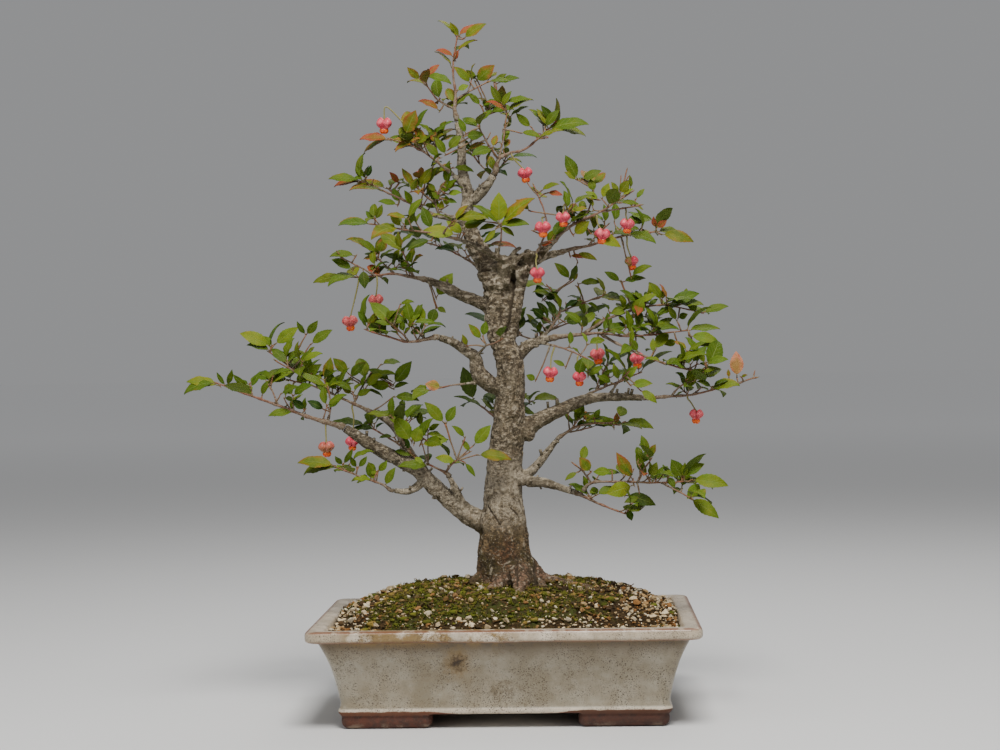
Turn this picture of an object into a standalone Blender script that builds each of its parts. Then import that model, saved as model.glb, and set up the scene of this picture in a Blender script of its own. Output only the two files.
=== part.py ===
"""European spindle bonsai in a glazed tray: pot, drain screens, soil, wood, leafy branches and fruits.

Sizes are written in millimetres and built in metres. Points are given in a frame that stands on the
ground under the middle of the pot, +X to the right, +Y to the back and +Z up. The whole plant is then
moved by PLANT_SHIFT, so that the origin lies under the middle of the object's own outline.
"""
import math
import random

import bmesh
import bpy
from mathutils import Matrix, Vector
from mathutils.bvhtree import BVHTree

MM = 0.001
NAME = "european_spindle_bonsai"

# Driving dimensions, mm
PLANT_SHIFT = (18.6, 0.0, 0.0)
GAP = 0.3
POT_LENGTH = 300.0
POT_WIDTH = 225.0
POT_HEIGHT = 78.0
CORNER_RADIUS = 7.0
CORNER_STEPS = 2
LIP_HEIGHT = 8.0
LIP_WIDTH = 13.0
FLOOR_UNDERSIDE = 12.0
FLOOR_TOP = 24.0
BASE_LENGTH = 249.0
FOOT_WALL = 17.0
FOOT_SLOT_LONG = 112.0
FOOT_SLOT_SHORT = 84.0
FOOT_SLOT_TAPER = 0.86
DRAIN_DIAMETER = 20.0
DRAIN_SPACING = 120.0
SCREEN_SIZE = 34.0
SCREEN_THICKNESS = 1.2
SOIL_EDGE_HEIGHT = 75.0
SOIL_CROWN_HEIGHT = 103.0
SOIL_RELIEF = 1.6
SOIL_GAP = 0.5
BLADE_THICKNESS = 1.3
PETIOLE_WIDTH = 0.9
CAPSULE_HEIGHT = 9.0
FRUIT_SIDES = 8
STALK_DIAMETER = 1.1
STALK_REACH = 5.0
TWIG_TIP_RADIUS = 0.95
LAST_PAIR_FROM_TIP = 1.6
PAIR_SPREAD = 0.56
SEAT_LEAD = 2.4
LEAF_TRIES = 14
LEAF_TRY_TURN = 12
LEAF_CLEARANCE = 0.25
TRUNK_SIDES = 10

# Trunk and limbs: centre line points with the radius there. The first one is the trunk itself, up
# through the leader to the crown. Each limb starts inside the wood that it grows from.
LIMBS = {
    "crown": [(2, 0, 84, 27), (2, 0, 100, 25.5), (0, 0, 113, 23), (-1, 0, 128, 20.5), (-2, 1, 148, 17.8),
              (-2, 2, 168, 16), (-1, 3, 189, 15), (1, 2, 209, 14.2), (4, 0, 230, 13), (5, -2, 250, 11.8),
              (6, -4, 271, 11.5), (4, -4, 284, 11), (-1, -3, 298, 10), (-5, -1, 314, 9.5),
              (-5, 0, 332, 10), (-6, 2, 347, 10.5), (-13, 4, 362, 9), (-21, 5, 374, 8), (-25, 5, 386, 6.6),
              (-28, 5, 398, 5.6), (-27, 5, 416, 4.8), (-31, 3, 438, 4), (-31, 1, 457, 3.5),
              (-34, 0, 474, 2.8)],
    "right_fork": [(4, -5, 298, 7), (8, -6, 314, 7), (11, -5, 331, 7), (15, -5, 346, 6.6),
                   (20, -4, 356, 5.6), (26, -5, 362, 4.8)],
    "crown_right": [(-33, 0, 468, 2), (-27, 6, 473, 1.2)],
    "second_leader": [(-27, 4, 406, 4), (-14, -2, 417, 3.6), (-5, -6, 430, 3)],
    "higher_left": [(-28, 4, 419, 2.8), (-38, 0, 431, 2.2)],
    "high_left": [(-26, 5, 391, 3.6), (-38, 5, 396, 3), (-52, 7, 399, 2.4)],
    "front_left": [(15, -6, 346, 4), (8, -13, 358, 3.4), (-6, -17, 365, 2.8), (-18, -20, 372, 2.4),
                   (-31, -24, 377, 2)],
    "fork_upright": [(-3, -16, 364, 2), (0, -22, 375, 1.2)],
    "upper_left": [(-6, 0, 321, 5.4), (-20, 2, 329, 5.4), (-33, 4, 334, 4.8), (-46, 7, 341, 4),
                   (-60, 11, 347, 3)],
    "mid_left": [(0, -3, 257, 6), (-10, -7, 262, 7), (-20, -9, 272, 6.4), (-22, -10, 284, 5.2),
                 (-29, -13, 289, 4.2), (-39, -16, 296, 3.6), (-50, -19, 300, 3)],
    "mid_left_inner": [(-22, -11, 284, 2), (-14, -18, 292, 1.3)],
    "mid_left_low": [(-16, -9, 264, 2.4), (-30, -14, 263, 1.3)],
    "low_left": [(-4, -1, 143, 10.5), (-20, -4, 152, 10.2), (-33, -6, 160, 9.4), (-56, -9, 180, 8),
                 (-72, -11, 196, 6.6), (-100, -13, 211, 4.8), (-127, -16, 229, 3.4)],
    "low_left_back": [(-70, -9, 194, 4.6), (-84, -4, 222, 3.6), (-94, -1, 234, 3), (-107, 2, 241, 2.4)],
    "low_left_front": [(-64, -12, 186, 4), (-76, -20, 178, 3), (-88, -25, 179, 2.2)],
    "low_left_mid": [(-75, -11, 199, 2.4), (-79, -16, 213, 1.6)],
    "knee": [(-32, -7, 160, 5.4), (-38, -14, 176, 4.2), (-44, -18, 189, 3)],
    "low_right": [(6, -3, 187, 5), (20, -9, 184, 4.6), (31, -13, 183, 4), (42, -17, 180, 3.2),
                  (54, -21, 176, 2.8)],
    "low_right_back": [(4, 3, 178, 4.8), (17, 4, 188, 4.2), (26, 6, 196, 3.6), (34, 8, 206, 3),
                       (42, 10, 216, 2.4)],
    "big_right": [(4, 1, 221, 9), (16, 2, 226, 8.4), (27, 2, 232, 7), (38, 2, 237, 6.2), (49, 3, 242, 5.4),
                  (61, 3, 247, 4.6), (75, 4, 250, 4), (98, 5, 250, 3.2), (112, 6, 249, 2.6)],
    "big_right_mid": [(84, 4, 250, 2.2), (89, -2, 258, 1.4)],
    "big_right_back": [(60, 4, 247, 2.8), (67, 15, 252, 1.8)],
    "mid_right": [(8, 0, 280, 5.2), (18, 2, 291, 4.6), (27, 3, 296, 4), (37, 5, 298, 3.2)],
    "mid_right_back": [(28, 4, 296, 2.6), (37, 16, 305, 1.8)],
    "mid_right_front": [(28, 2, 296, 2.4), (38, -7, 293, 1.5)],
    "right_front": [(23, -5, 359, 4.4), (31, -9, 366, 3.8), (40, -12, 374, 3)],
    "right_back": [(23, -4, 358, 4.2), (34, 0, 364, 3.4), (45, 4, 367, 2.8)],
    "claw": [(22, -7, 358, 2.4), (27, -15, 365, 1.6)],
    "back_left": [(-58, -8, 182, 4), (-67, 10, 196, 2.8), (-76, 24, 206, 2)],
    "back_low": [(0, 6, 198, 5.4), (4, 26, 212, 4), (0, 42, 224, 2.8)],
    "back_mid": [(5, 2, 266, 4.8), (12, 22, 282, 3.6), (22, 38, 292, 2.4)],
    "back_high": [(-5, 4, 336, 4), (-14, 24, 350, 2.8), (-22, 36, 359, 2)],
    "back_top": [(-27, 7, 410, 2.6), (-17, 20, 423, 1.6)],
}

# Roots: direction round the trunk in degrees, how far out the root dives, and its thickness where it
# leaves the trunk.
ROOTS = [(-8, 66, 9.0), (-47, 44, 8.0), (-84, 42, 10.0), (-122, 38, 8.0), (-166, 46, 9.0), (130, 44, 9.0),
         (52, 48, 9.0)]

# Old cuts and knuckles in the bark: centre and radius.
BURLS = [(-4, -2, 345, 12.5)]

# A blade's sections: share of the arch turned there, step along the leaf, and half width. Then its tip.
BLADE_SECTIONS = ((0.25, 0.30, 0.46), (0.65, 0.34, 0.42))
BLADE_TIP_STEP = 0.36

# Fruit from top to bottom: height over the capsule's middle, radius, and how far its lobes stand out.
FRUIT_PROFILE = [(2.6, 1.6, 0.0), (3.6, 5.0, 0.15), (-1.2, 6.2, 0.13), (-4.0, 3.2, 0.0), (-6.8, 3.9, 0.0),
                 (-9.2, 1.6, 0.0)]

# Leafy branches: each sits on the end of the limb with the same name. First its main twig, then its side
# twigs, as the radius at the start, the number of leaf pairs, the leaf length and the centre line.
SPRAYS = {
    "crown": [(2.8, 3, 20, [(-36, 0, 484), (-35, 2, 496), (-37, 3, 511), (-36, 4, 527), (-33, 5, 544)]),
              (1.2, 1, 20, [(-36, 0, 484), (-49, -5, 491), (-58, -9, 503)]),
              (1.2, 1, 20, [(-35, 2, 492), (-22, 7, 500), (-9, 11, 507)])],
    "crown_right": [(1.2, 2, 21, [(-20, 12, 476), (-12, 17, 480), (-1, 21, 485)])],
    "second_leader": [(3.0, 2, 23, [(-1, -9, 442), (8, -8, 447), (20, -5, 450), (33, -1, 460), (46, 4, 466)]),
                      (1.4, 1, 20, [(-1, -9, 442), (-9, -14, 454), (-16, -18, 467)]),
                      (1.3, 1, 20, [(-1, -9, 442), (3, -7, 458), (6, -5, 480)])],
    "higher_left": [(2.2, 2, 23, [(-50, -4, 441), (-60, -7, 449), (-72, -10, 455), (-88, -14, 460)]),
                    (1.2, 1, 23, [(-60, -7, 449), (-67, -10, 457), (-70, -13, 465)]),
                    (1.2, 1, 22, [(-50, -4, 441), (-51, 4, 450), (-54, 11, 458)])],
    "high_left": [(2.4, 2, 24, [(-66, 10, 406), (-82, 13, 414), (-99, 16, 422), (-115, 19, 429)]),
                  (1.2, 1, 23, [(-66, 10, 406), (-63, 4, 417), (-60, 0, 428)]),
                  (1.2, 1, 23, [(-82, 13, 414), (-87, 22, 418), (-94, 31, 424)])],
    "front_left": [(2.0, 2, 26, [(-46, -28, 381), (-62, -32, 384), (-78, -37, 386), (-101, -43, 390)]),
                   (1.2, 1, 26, [(-46, -28, 381), (-41, -36, 387), (-36, -43, 391)])],
    "fork_upright": [(1.2, 1, 29, [(1, -26, 386), (1, -27, 389)])],
    "upper_left": [(3.0, 1, 26, [(-73, 14, 350), (-88, 18, 353), (-104, 20, 352), (-120, 22, 351)]),
                   (1.4, 1, 26, [(-73, 14, 350), (-76, 8, 360), (-80, 2, 370)]),
                   (1.3, 1, 25, [(-88, 18, 353), (-98, 27, 362), (-108, 34, 371)]),
                   (1.2, 1, 25, [(-104, 20, 352), (-118, 14, 360), (-130, 9, 366)])],
    "mid_left": [(3.0, 2, 25, [(-61, -21, 299), (-74, -24, 297), (-86, -27, 300), (-107, -32, 307)]),
                 (1.5, 1, 25, [(-61, -21, 299), (-72, -14, 310), (-96, -6, 321)]),
                 (1.2, 1, 24, [(-74, -24, 297), (-79, -32, 304), (-85, -38, 310)])],
    "mid_left_inner": [(1.3, 1, 21, [(-6, -24, 295), (0, -27, 298)])],
    "mid_left_low": [(1.3, 1, 21, [(-40, -15, 262), (-50, -16, 260), (-60, -18, 258)])],
    "low_left": [(3.4, 2, 28, [(-155, -18, 238), (-180, -20, 248), (-206, -23, 258), (-229, -25, 267)]),
                 (1.5, 1, 26, [(-141, -17, 233), (-139, -9, 248), (-142, -3, 262)]),
                 (1.3, 1, 26, [(-180, -20, 248), (-185, -12, 258), (-191, -6, 267)])],
    "low_left_back": [(2.4, 2, 27, [(-122, 5, 248), (-139, 9, 256), (-160, 12, 269), (-192, 16, 291)]),
                      (1.4, 2, 26, [(-122, 5, 248), (-116, 13, 261), (-108, 20, 274)]),
                      (1.4, 1, 27, [(-139, 9, 256), (-158, 20, 263), (-178, 28, 268)]),
                      (1.3, 1, 27, [(-160, 12, 269), (-172, 4, 276), (-184, -2, 284)])],
    "low_left_front": [(2.2, 2, 27, [(-98, -29, 185), (-112, -33, 190), (-132, -37, 199)])],
    "low_left_mid": [(1.6, 1, 25, [(-82, -18, 224), (-78, -20, 234)]),
                     (1.2, 1, 25, [(-82, -18, 223), (-69, -22, 222), (-59, -24, 217)])],
    "knee": [(3.0, 1, 23, [(-52, -18, 195), (-61, -16, 199)]),
             (1.5, 1, 25, [(-47, -18, 192), (-40, -24, 202), (-24, -28, 206), (-14, -30, 208)])],
    "low_right": [(2.8, 1, 20, [(64, -26, 172), (74, -30, 167), (84, -35, 163), (96, -40, 159)]),
                  (2.0, 2, 28, [(60, -24, 174), (69, -28, 183), (88, -31, 184), (124, -37, 183),
                                (142, -39, 184)]),
                  (1.2, 1, 23, [(69, -28, 183), (63, -31, 192), (55, -33, 199)]),
                  (1.2, 1, 26, [(105, -34, 183), (110, -39, 193), (116, -43, 202)]),
                  (1.2, 1, 28, [(124, -37, 183), (136, -42, 177), (147, -46, 171)])],
    "low_right_back": [(2.4, 1, 26, [(50, 12, 222), (60, 15, 227), (78, 19, 229), (92, 22, 227)]),
                       (1.3, 1, 25, [(50, 12, 222), (60, 24, 223), (70, 33, 225)])],
    "big_right": [(2.6, 2, 23, [(135, 8, 250), (152, 9, 251), (170, 10, 255), (189, 12, 259)]),
                  (1.3, 1, 26, [(135, 8, 250), (142, 1, 258), (154, -5, 263)]),
                  (1.3, 1, 26, [(152, 9, 251), (162, 19, 258), (172, 28, 263)])],
    "big_right_mid": [(1.4, 1, 26, [(94, -8, 264), (100, -14, 270)])],
    "big_right_back": [(1.8, 1, 26, [(82, 30, 258), (98, 46, 264), (112, 58, 269)]),
                       (1.2, 1, 25, [(82, 30, 258), (80, 42, 268), (84, 54, 276)])],
    "mid_right": [(3.2, 2, 26, [(50, 7, 300), (64, 9, 301), (78, 11, 302), (104, 13, 299), (150, 18, 303)]),
                  (1.9, 2, 26, [(64, 9, 301), (84, 17, 313), (112, 23, 322), (132, 27, 324), (156, 32, 319)]),
                  (1.8, 2, 26, [(78, 11, 302), (94, 2, 292), (120, -4, 280), (150, -6, 271), (164, -6, 272)]),
                  (1.2, 1, 25, [(104, 13, 299), (113, 21, 307), (124, 28, 311)])],
    "mid_right_back": [(1.8, 1, 26, [(46, 26, 320), (43, 34, 332), (36, 40, 342)]),
                       (1.3, 1, 26, [(46, 26, 320), (62, 33, 326), (78, 38, 332)])],
    "mid_right_front": [(1.5, 1, 25, [(54, -14, 288), (68, -20, 281)])],
    "right_front": [(3.0, 2, 25, [(51, -15, 384), (66, -18, 392), (80, -21, 398), (105, -26, 413)]),
                    (1.3, 1, 24, [(51, -15, 384), (53, -23, 395), (59, -29, 403)]),
                    (1.4, 1, 25, [(66, -18, 392), (72, -12, 404), (75, -8, 418)]),
                    (1.3, 1, 25, [(80, -21, 398), (95, -18, 400), (112, -16, 403)]),
                    (1.3, 1, 25, [(90, -23, 404), (97, -24, 417), (101, -24, 430)])],
    "right_back": [(2.8, 2, 26, [(56, 7, 370), (70, 11, 373), (84, 15, 377), (101, 19, 381), (126, 25, 384)]),
                   (1.3, 1, 25, [(70, 11, 373), (78, 4, 382), (86, 1, 389)]),
                   (1.3, 1, 25, [(84, 15, 377), (92, 27, 384), (100, 36, 390)])],
    "claw": [(1.6, 1, 21, [(32, -19, 373), (37, -21, 385), (35, -20, 400), (27, -18, 420)]),
             (1.2, 1, 22, [(32, -19, 373), (44, -26, 377), (52, -30, 383)])],
    "back_left": [(2.0, 1, 27, [(-90, 38, 214), (-104, 50, 222), (-117, 61, 228)]),
                  (1.3, 1, 26, [(-90, 38, 214), (-86, 50, 224), (-84, 62, 232)])],
    "back_low": [(2.8, 2, 26, [(-8, 56, 232), (-18, 72, 240), (-29, 87, 247)]),
                 (1.4, 1, 26, [(-4, 50, 229), (8, 66, 238), (20, 80, 246)])],
    "back_mid": [(2.4, 1, 26, [(30, 52, 300), (38, 66, 306), (46, 81, 312)]),
                 (1.4, 1, 26, [(27, 46, 296), (10, 56, 303), (-8, 64, 310)]),
                 (1.3, 1, 25, [(38, 66, 306), (54, 70, 312), (68, 73, 316)])],
    "back_high": [(2.0, 1, 25, [(-32, 48, 366), (-42, 60, 372), (-52, 72, 378)]),
                  (1.3, 1, 25, [(-32, 48, 366), (-24, 60, 372), (-14, 70, 378)]),
                  (1.2, 1, 25, [(-42, 60, 372), (-57, 58, 378), (-71, 54, 382)])],
    "back_top": [(1.6, 1, 23, [(-8, 30, 433), (0, 42, 442), (6, 52, 449)]),
                 (1.2, 1, 22, [(-8, 30, 433), (-18, 38, 443), (-25, 44, 452)])],
}

# Fruits: the leafy branch and the twig that carries one, the share of the twig's length where its stalk
# starts, how far the stalk arches up before it hangs, and the centre of the capsule.
FRUITS = [
    ("higher_left", 1, 0.60, 22, (-92, -13, 472)),
    ("second_leader", 0, 0.36, 0, (20, -5, 431)),
    ("claw", 0, 0.55, 0, (34, -27, 386)),
    ("right_front", 1, 0.70, 8, (50, -34, 393)),
    ("right_front", 0, 0.56, 0, (81, -21, 380)),
    ("right_front", 3, 0.62, 0, (101, -17, 388)),
    ("right_back", 0, 0.70, 0, (105, 20, 360)),
    ("claw", 0, 0.03, 0, (29, -22, 350)),
    ("upper_left", 0, 0.72, 0, (-104, 20, 332)),
    ("upper_left", 0, 0.97, 0, (-126, 24, 315)),
    ("mid_right", 0, 0.35, 0, (76, 11, 285)),
    ("mid_right_front", 0, 0.12, 0, (38, -12, 271)),
    ("mid_right_front", 0, 0.75, 0, (61, -19, 267)),
    ("mid_right", 0, 0.62, 0, (108, 13, 281)),
    ("big_right", 0, 0.46, 0, (155, 9, 235)),
    ("low_left_back", 0, 0.17, 0, (-124, 8, 217)),
    ("low_left", 0, 0.14, 0, (-142, -18, 214)),
]


def finish(name, colour, roughness):
    """Return a plain Principled material."""
    material = bpy.data.materials.new(name)
    material.use_nodes = True
    shader = material.node_tree.nodes["Principled BSDF"]
    shader.inputs["Base Color"].default_value = (*colour, 1.0)
    shader.inputs["Roughness"].default_value = roughness
    shader.inputs["Metallic"].default_value = 0.0
    return material


def add_mesh(name, mesh, collection):
    """Put a mesh in the scene as a new object in a collection."""
    item = bpy.data.objects.new(name, mesh)
    collection.objects.link(item)
    return item


def mesh_from(name, vertices, faces):
    """Return a mesh made of the given points (mm) and faces."""
    mesh = bpy.data.meshes.new(name)
    mesh.from_pydata([Vector(point) * MM for point in vertices], [], faces)
    mesh.validate()
    return mesh


def apply_modifiers(item):
    """Replace an object's mesh by its evaluated one and drop its modifiers."""
    depsgraph = bpy.context.evaluated_depsgraph_get()
    mesh = bpy.data.meshes.new_from_object(item.evaluated_get(depsgraph))
    item.modifiers.clear()
    old = item.data
    item.data = mesh
    bpy.data.meshes.remove(old)


def sides_for(radius):
    """Number of sides for a limb or twig of this radius."""
    return 8 if radius > 6 else 6 if radius > 2.3 else 4


def tube(name, points, radii, sides, collection):
    """Sweep a round section along a centre line (mm) and return it as a closed mesh object."""
    curve = bpy.data.curves.new(name, "CURVE")
    curve.dimensions = "3D"
    curve.bevel_depth = MM
    curve.bevel_resolution = (sides - 4) // 2
    curve.use_fill_caps = True
    spline = curve.splines.new("POLY")
    spline.points.add(len(points) - 1)
    for knot, point, radius in zip(spline.points, points, radii):
        knot.co = (*(Vector(point) * MM), 1.0)
        knot.radius = radius
    guide = add_mesh(name + "_curve", curve, collection)
    depsgraph = bpy.context.evaluated_depsgraph_get()
    mesh = bpy.data.meshes.new_from_object(guide.evaluated_get(depsgraph))
    shape = bmesh.new()
    shape.from_mesh(mesh)
    bmesh.ops.remove_doubles(shape, verts=shape.verts, dist=0.01 * MM)
    shape.to_mesh(mesh)
    shape.free()
    mesh.name = name
    item = add_mesh(name, mesh, collection)
    item.matrix_world = guide.matrix_world
    bpy.data.objects.remove(guide)
    bpy.data.curves.remove(curve)
    return item


def fuse(base, others, operation="UNION", solver="EXACT"):
    """Join or cut a base object with others, apply it and remove the others."""
    group = bpy.data.collections.new(base.name + "_others")
    bpy.context.scene.collection.children.link(group)
    for item in others:
        for owner in list(item.users_collection):
            owner.objects.unlink(item)
        group.objects.link(item)
    cut = base.modifiers.new("fuse", "BOOLEAN")
    cut.operation = operation
    cut.operand_type = "COLLECTION"
    cut.collection = group
    cut.solver = solver
    apply_modifiers(base)
    for item in list(group.objects):
        bpy.data.objects.remove(item)
    bpy.data.collections.remove(group)


def rounded_rectangle(half_x, half_y, radius, height, along_x=1, along_y=1):
    """Return the points of a rounded rectangle, with extra points along its sides."""
    centres = [(half_x - radius, half_y - radius, 0), (radius - half_x, half_y - radius, 90),
               (radius - half_x, radius - half_y, 180), (half_x - radius, radius - half_y, 270)]
    points = []
    for number, (x, y, start) in enumerate(centres):
        for step in range(CORNER_STEPS + 1):
            angle = math.radians(start + 90.0 * step / CORNER_STEPS)
            points.append(Vector((x + radius * math.cos(angle), y + radius * math.sin(angle), height)))
        next_x, next_y, next_start = centres[(number + 1) % 4]
        turn = math.radians(next_start)
        goal = Vector((next_x + radius * math.cos(turn), next_y + radius * math.sin(turn), height))
        pieces = along_x if number % 2 == 0 else along_y
        last = points[-1].copy()
        for step in range(1, pieces):
            points.append(last.lerp(goal, step / pieces))
    return points


def loft(name, rings, collection, closed=False):
    """Join rings of equally many points by faces, with flat ends or, if closed, first ring to last."""
    count = len(rings[0])
    vertices = [point for ring in rings for point in ring]
    faces = []
    pairs = len(rings) if closed else len(rings) - 1
    for level in range(pairs):
        low = level * count
        high = ((level + 1) % len(rings)) * count
        for index in range(count):
            after = (index + 1) % count
            faces.append((low + index, low + after, high + after, high + index))
    if not closed:
        faces.append(tuple(reversed(range(count))))
        faces.append(tuple(range(len(vertices) - count, len(vertices))))
    return add_mesh(name, mesh_from(name, vertices, faces), collection)


def pot_ring(half_length, height):
    """One level of the pot: a rounded rectangle with the pot's own difference of length and width."""
    half_width = half_length - (POT_LENGTH - POT_WIDTH) / 2
    return rounded_rectangle(half_length, half_width, CORNER_RADIUS, height)


def build_feet(collection):
    """Four corner feet: a frame under the floor that two tapered slots divide."""
    outer = BASE_LENGTH / 2
    top = FLOOR_UNDERSIDE + 1.0
    frame_rings = [pot_ring(outer - 1.5, 0.0), pot_ring(outer, 1.5), pot_ring(outer, top),
                   pot_ring(outer - FOOT_WALL, top), pot_ring(outer - FOOT_WALL, 0.0)]
    feet = loft("feet", frame_rings, collection, closed=True)
    slots = []
    for name, width, length, turned in (("long_slot", FOOT_SLOT_LONG, POT_WIDTH, False),
                                        ("short_slot", FOOT_SLOT_SHORT, POT_LENGTH, True)):
        shape = bmesh.new()
        bmesh.ops.create_cube(shape, size=1.0)
        for vertex in shape.verts:
            flare = 1.0 if vertex.co.z < 0 else FOOT_SLOT_TAPER
            vertex.co.x *= width * flare * MM
            vertex.co.y *= length * MM
            vertex.co.z = (FLOOR_UNDERSIDE + 4.0) * MM if vertex.co.z > 0 else -2.0 * MM
        if turned:
            shape.transform(Matrix.Rotation(math.pi / 2, 4, "Z"))
        mesh = bpy.data.meshes.new(name)
        shape.to_mesh(mesh)
        shape.free()
        slots.append(add_mesh(name, mesh, collection))
    fuse(feet, slots, "DIFFERENCE")
    return feet


def build_pot(collection, material):
    """Glazed tray: flared hollow wall with a lip, four feet and two drain holes."""
    rim = POT_LENGTH / 2
    lip_under = POT_HEIGHT - LIP_HEIGHT
    inner = rim - LIP_WIDTH
    outline = [(120.0, FLOOR_UNDERSIDE), (125.0, FLOOR_UNDERSIDE + 0.8), (124.2, 18.0), (126.0, 27.0),
               (129.5, 41.0), (134.0, 56.0), (137.5, 65.0), (139.0, lip_under), (148.0, lip_under + 0.4),
               (rim, lip_under + 2.4), (rim, POT_HEIGHT - 2.2), (rim - 2.0, POT_HEIGHT)]
    hollow = [(inner + 1.0, POT_HEIGHT), (inner, POT_HEIGHT - 1.2), (inner - 10.0, 50.0),
              (inner - 20.0, FLOOR_TOP)]
    pot = loft("pot", [pot_ring(*level) for level in outline + hollow], collection)
    fuse(pot, [build_feet(collection)])
    drains = []
    for side in (-1, 1):
        shape = bmesh.new()
        bmesh.ops.create_cone(shape, cap_ends=True, segments=16, radius1=DRAIN_DIAMETER / 2 * MM,
                              radius2=DRAIN_DIAMETER / 2 * MM, depth=40.0 * MM,
                              matrix=Matrix.Translation((side * DRAIN_SPACING / 2 * MM, 0, FLOOR_TOP * MM)))
        mesh = bpy.data.meshes.new("drain")
        shape.to_mesh(mesh)
        shape.free()
        drains.append(add_mesh("drain", mesh, collection))
    fuse(pot, drains, "DIFFERENCE")
    pot.data.materials.append(material)
    return pot


def build_screen(name, side, collection, material):
    """A square of plastic mesh that lies over a drain hole."""
    shape = bmesh.new()
    bmesh.ops.create_grid(shape, x_segments=5, y_segments=5, size=SCREEN_SIZE / 2 * MM)
    pitch = SCREEN_SIZE / 5 * MM
    openings = [face for face in shape.faces
                if all(round(abs(value) / pitch) == 1 for value in face.calc_center_median()[:2])]
    bmesh.ops.delete(shape, geom=openings, context="FACES")
    bmesh.ops.dissolve_limit(shape, angle_limit=0.01, verts=shape.verts, edges=shape.edges)
    mesh = bpy.data.meshes.new(name)
    shape.to_mesh(mesh)
    shape.free()
    screen = add_mesh(name, mesh, collection)
    screen.location = (side * DRAIN_SPACING / 2 * MM, 0.0, (FLOOR_TOP + GAP) * MM)
    wall = screen.modifiers.new("thickness", "SOLIDIFY")
    wall.thickness = SCREEN_THICKNESS * MM
    wall.offset = 1.0
    mesh.materials.append(material)
    return screen


def mound_height(x, y):
    """Height of the soil over a point of the pot, before its grit."""
    half_x = POT_LENGTH / 2 - LIP_WIDTH
    half_y = POT_WIDTH / 2 - LIP_WIDTH
    out = min(1.0, abs(x / half_x) ** 2.6 + abs(y / half_y) ** 2.6)
    return SOIL_EDGE_HEIGHT + (SOIL_CROWN_HEIGHT - SOIL_EDGE_HEIGHT) * (1.0 - out) ** 0.9


def build_soil(collection, material, wood_shapes):
    """Mound of soil that fills the pot, gritty on top, with the hole that the trunk stands in."""
    inner = POT_LENGTH / 2 - LIP_WIDTH
    narrow = (POT_LENGTH - POT_WIDTH) / 2
    rings = []
    for half, height in ((inner - 20.0, FLOOR_TOP + 2 * GAP + SCREEN_THICKNESS), (inner - 10.0, 50.0),
                         (inner - 1.0, SOIL_EDGE_HEIGHT)):
        side = half - SOIL_GAP
        rings.append(rounded_rectangle(side, side - narrow, CORNER_RADIUS - GAP, height, 6, 5))
    edge = rings[-1]
    grit = random.Random("grit")
    for share in (0.92, 0.81, 0.68, 0.54, 0.4):
        ring = []
        for point in edge:
            x = point.x * share + grit.uniform(-2.5, 2.5)
            y = point.y * share + grit.uniform(-2.5, 2.5)
            ring.append(Vector((x, y, mound_height(x, y) + grit.uniform(-SOIL_RELIEF, SOIL_RELIEF))))
        rings.append(ring)
    rings.append([Vector((point.x * 0.14, point.y * 0.14, SOIL_CROWN_HEIGHT)) for point in edge])
    soil = loft("soil", rings, collection)
    hole = wood_shapes[0]
    fuse(hole, wood_shapes[1:])
    fuse(soil, [hole], "DIFFERENCE", "MANIFOLD")
    soil.data.materials.append(material)
    return soil


def root_line(angle, reach, radius):
    """Centre line and radii of one root, from inside the trunk to where it has dived into the soil."""
    turn = math.radians(angle)
    steps = [(8.0, 122.0, radius * 0.8), (19.0, 108.0, radius), (30.0, 102.0, radius * 0.7),
             (reach, 101.0 - 0.06 * reach, radius * 0.4), (reach + 14.0, 88.0, radius * 0.25)]
    points = [(2.0 + out * math.cos(turn), out * math.sin(turn), height) for out, height, _ in steps]
    return points, [width for _, _, width in steps]


def foot_of_tree(collection, grow):
    """Trunk base and roots, grown by a clearance, as loose shapes."""
    base = LIMBS["crown"][:6]
    points = [point[:3] for point in base]
    points[0] = (points[0][0], points[0][1], points[0][2] - grow)
    shapes = [tube("trunk_base", points, [point[3] + grow for point in base], TRUNK_SIDES, collection)]
    for number, (angle, reach, radius) in enumerate(ROOTS):
        points, radii = root_line(angle, reach, radius)
        end = Vector(points[-1])
        points[-1] = end + (end - Vector(points[-2])).normalized() * grow
        shapes.append(tube(f"root_{number}", points, [value + grow for value in radii], 6, collection))
    return shapes


def build_wood(collection, material):
    """Roots, trunk and bare limbs, grown as one piece."""
    trunk = None
    others = foot_of_tree(collection, 0.0)
    bpy.data.objects.remove(others.pop(0))
    for name, line in LIMBS.items():
        sides = TRUNK_SIDES if name == "crown" else sides_for(line[0][3])
        limb = tube(name, [point[:3] for point in line], [point[3] for point in line], sides, collection)
        if trunk is None:
            trunk = limb
        else:
            others.append(limb)
    for x, y, z, radius in BURLS:
        shape = bmesh.new()
        bmesh.ops.create_icosphere(shape, subdivisions=2, radius=radius * MM,
                                   matrix=Matrix.Translation(Vector((x, y, z)) * MM))
        mesh = bpy.data.meshes.new("burl")
        shape.to_mesh(mesh)
        shape.free()
        others.append(add_mesh("burl", mesh, collection))
    trunk.name = "wood"
    fuse(trunk, others)
    trunk.data.materials.append(material)
    return trunk


def along(points, share):
    """Return the place and the direction at a share of a centre line's length."""
    line = [Vector(point) for point in points]
    lengths = [(after - before).length for before, after in zip(line, line[1:])]
    left = share * sum(lengths)
    for before, after, length in zip(line, line[1:], lengths):
        if left <= length or after is line[-1]:
            return before.lerp(after, left / length), (after - before).normalized()
        left -= length
    return line[-1], (line[-1] - line[-2]).normalized()


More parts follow.
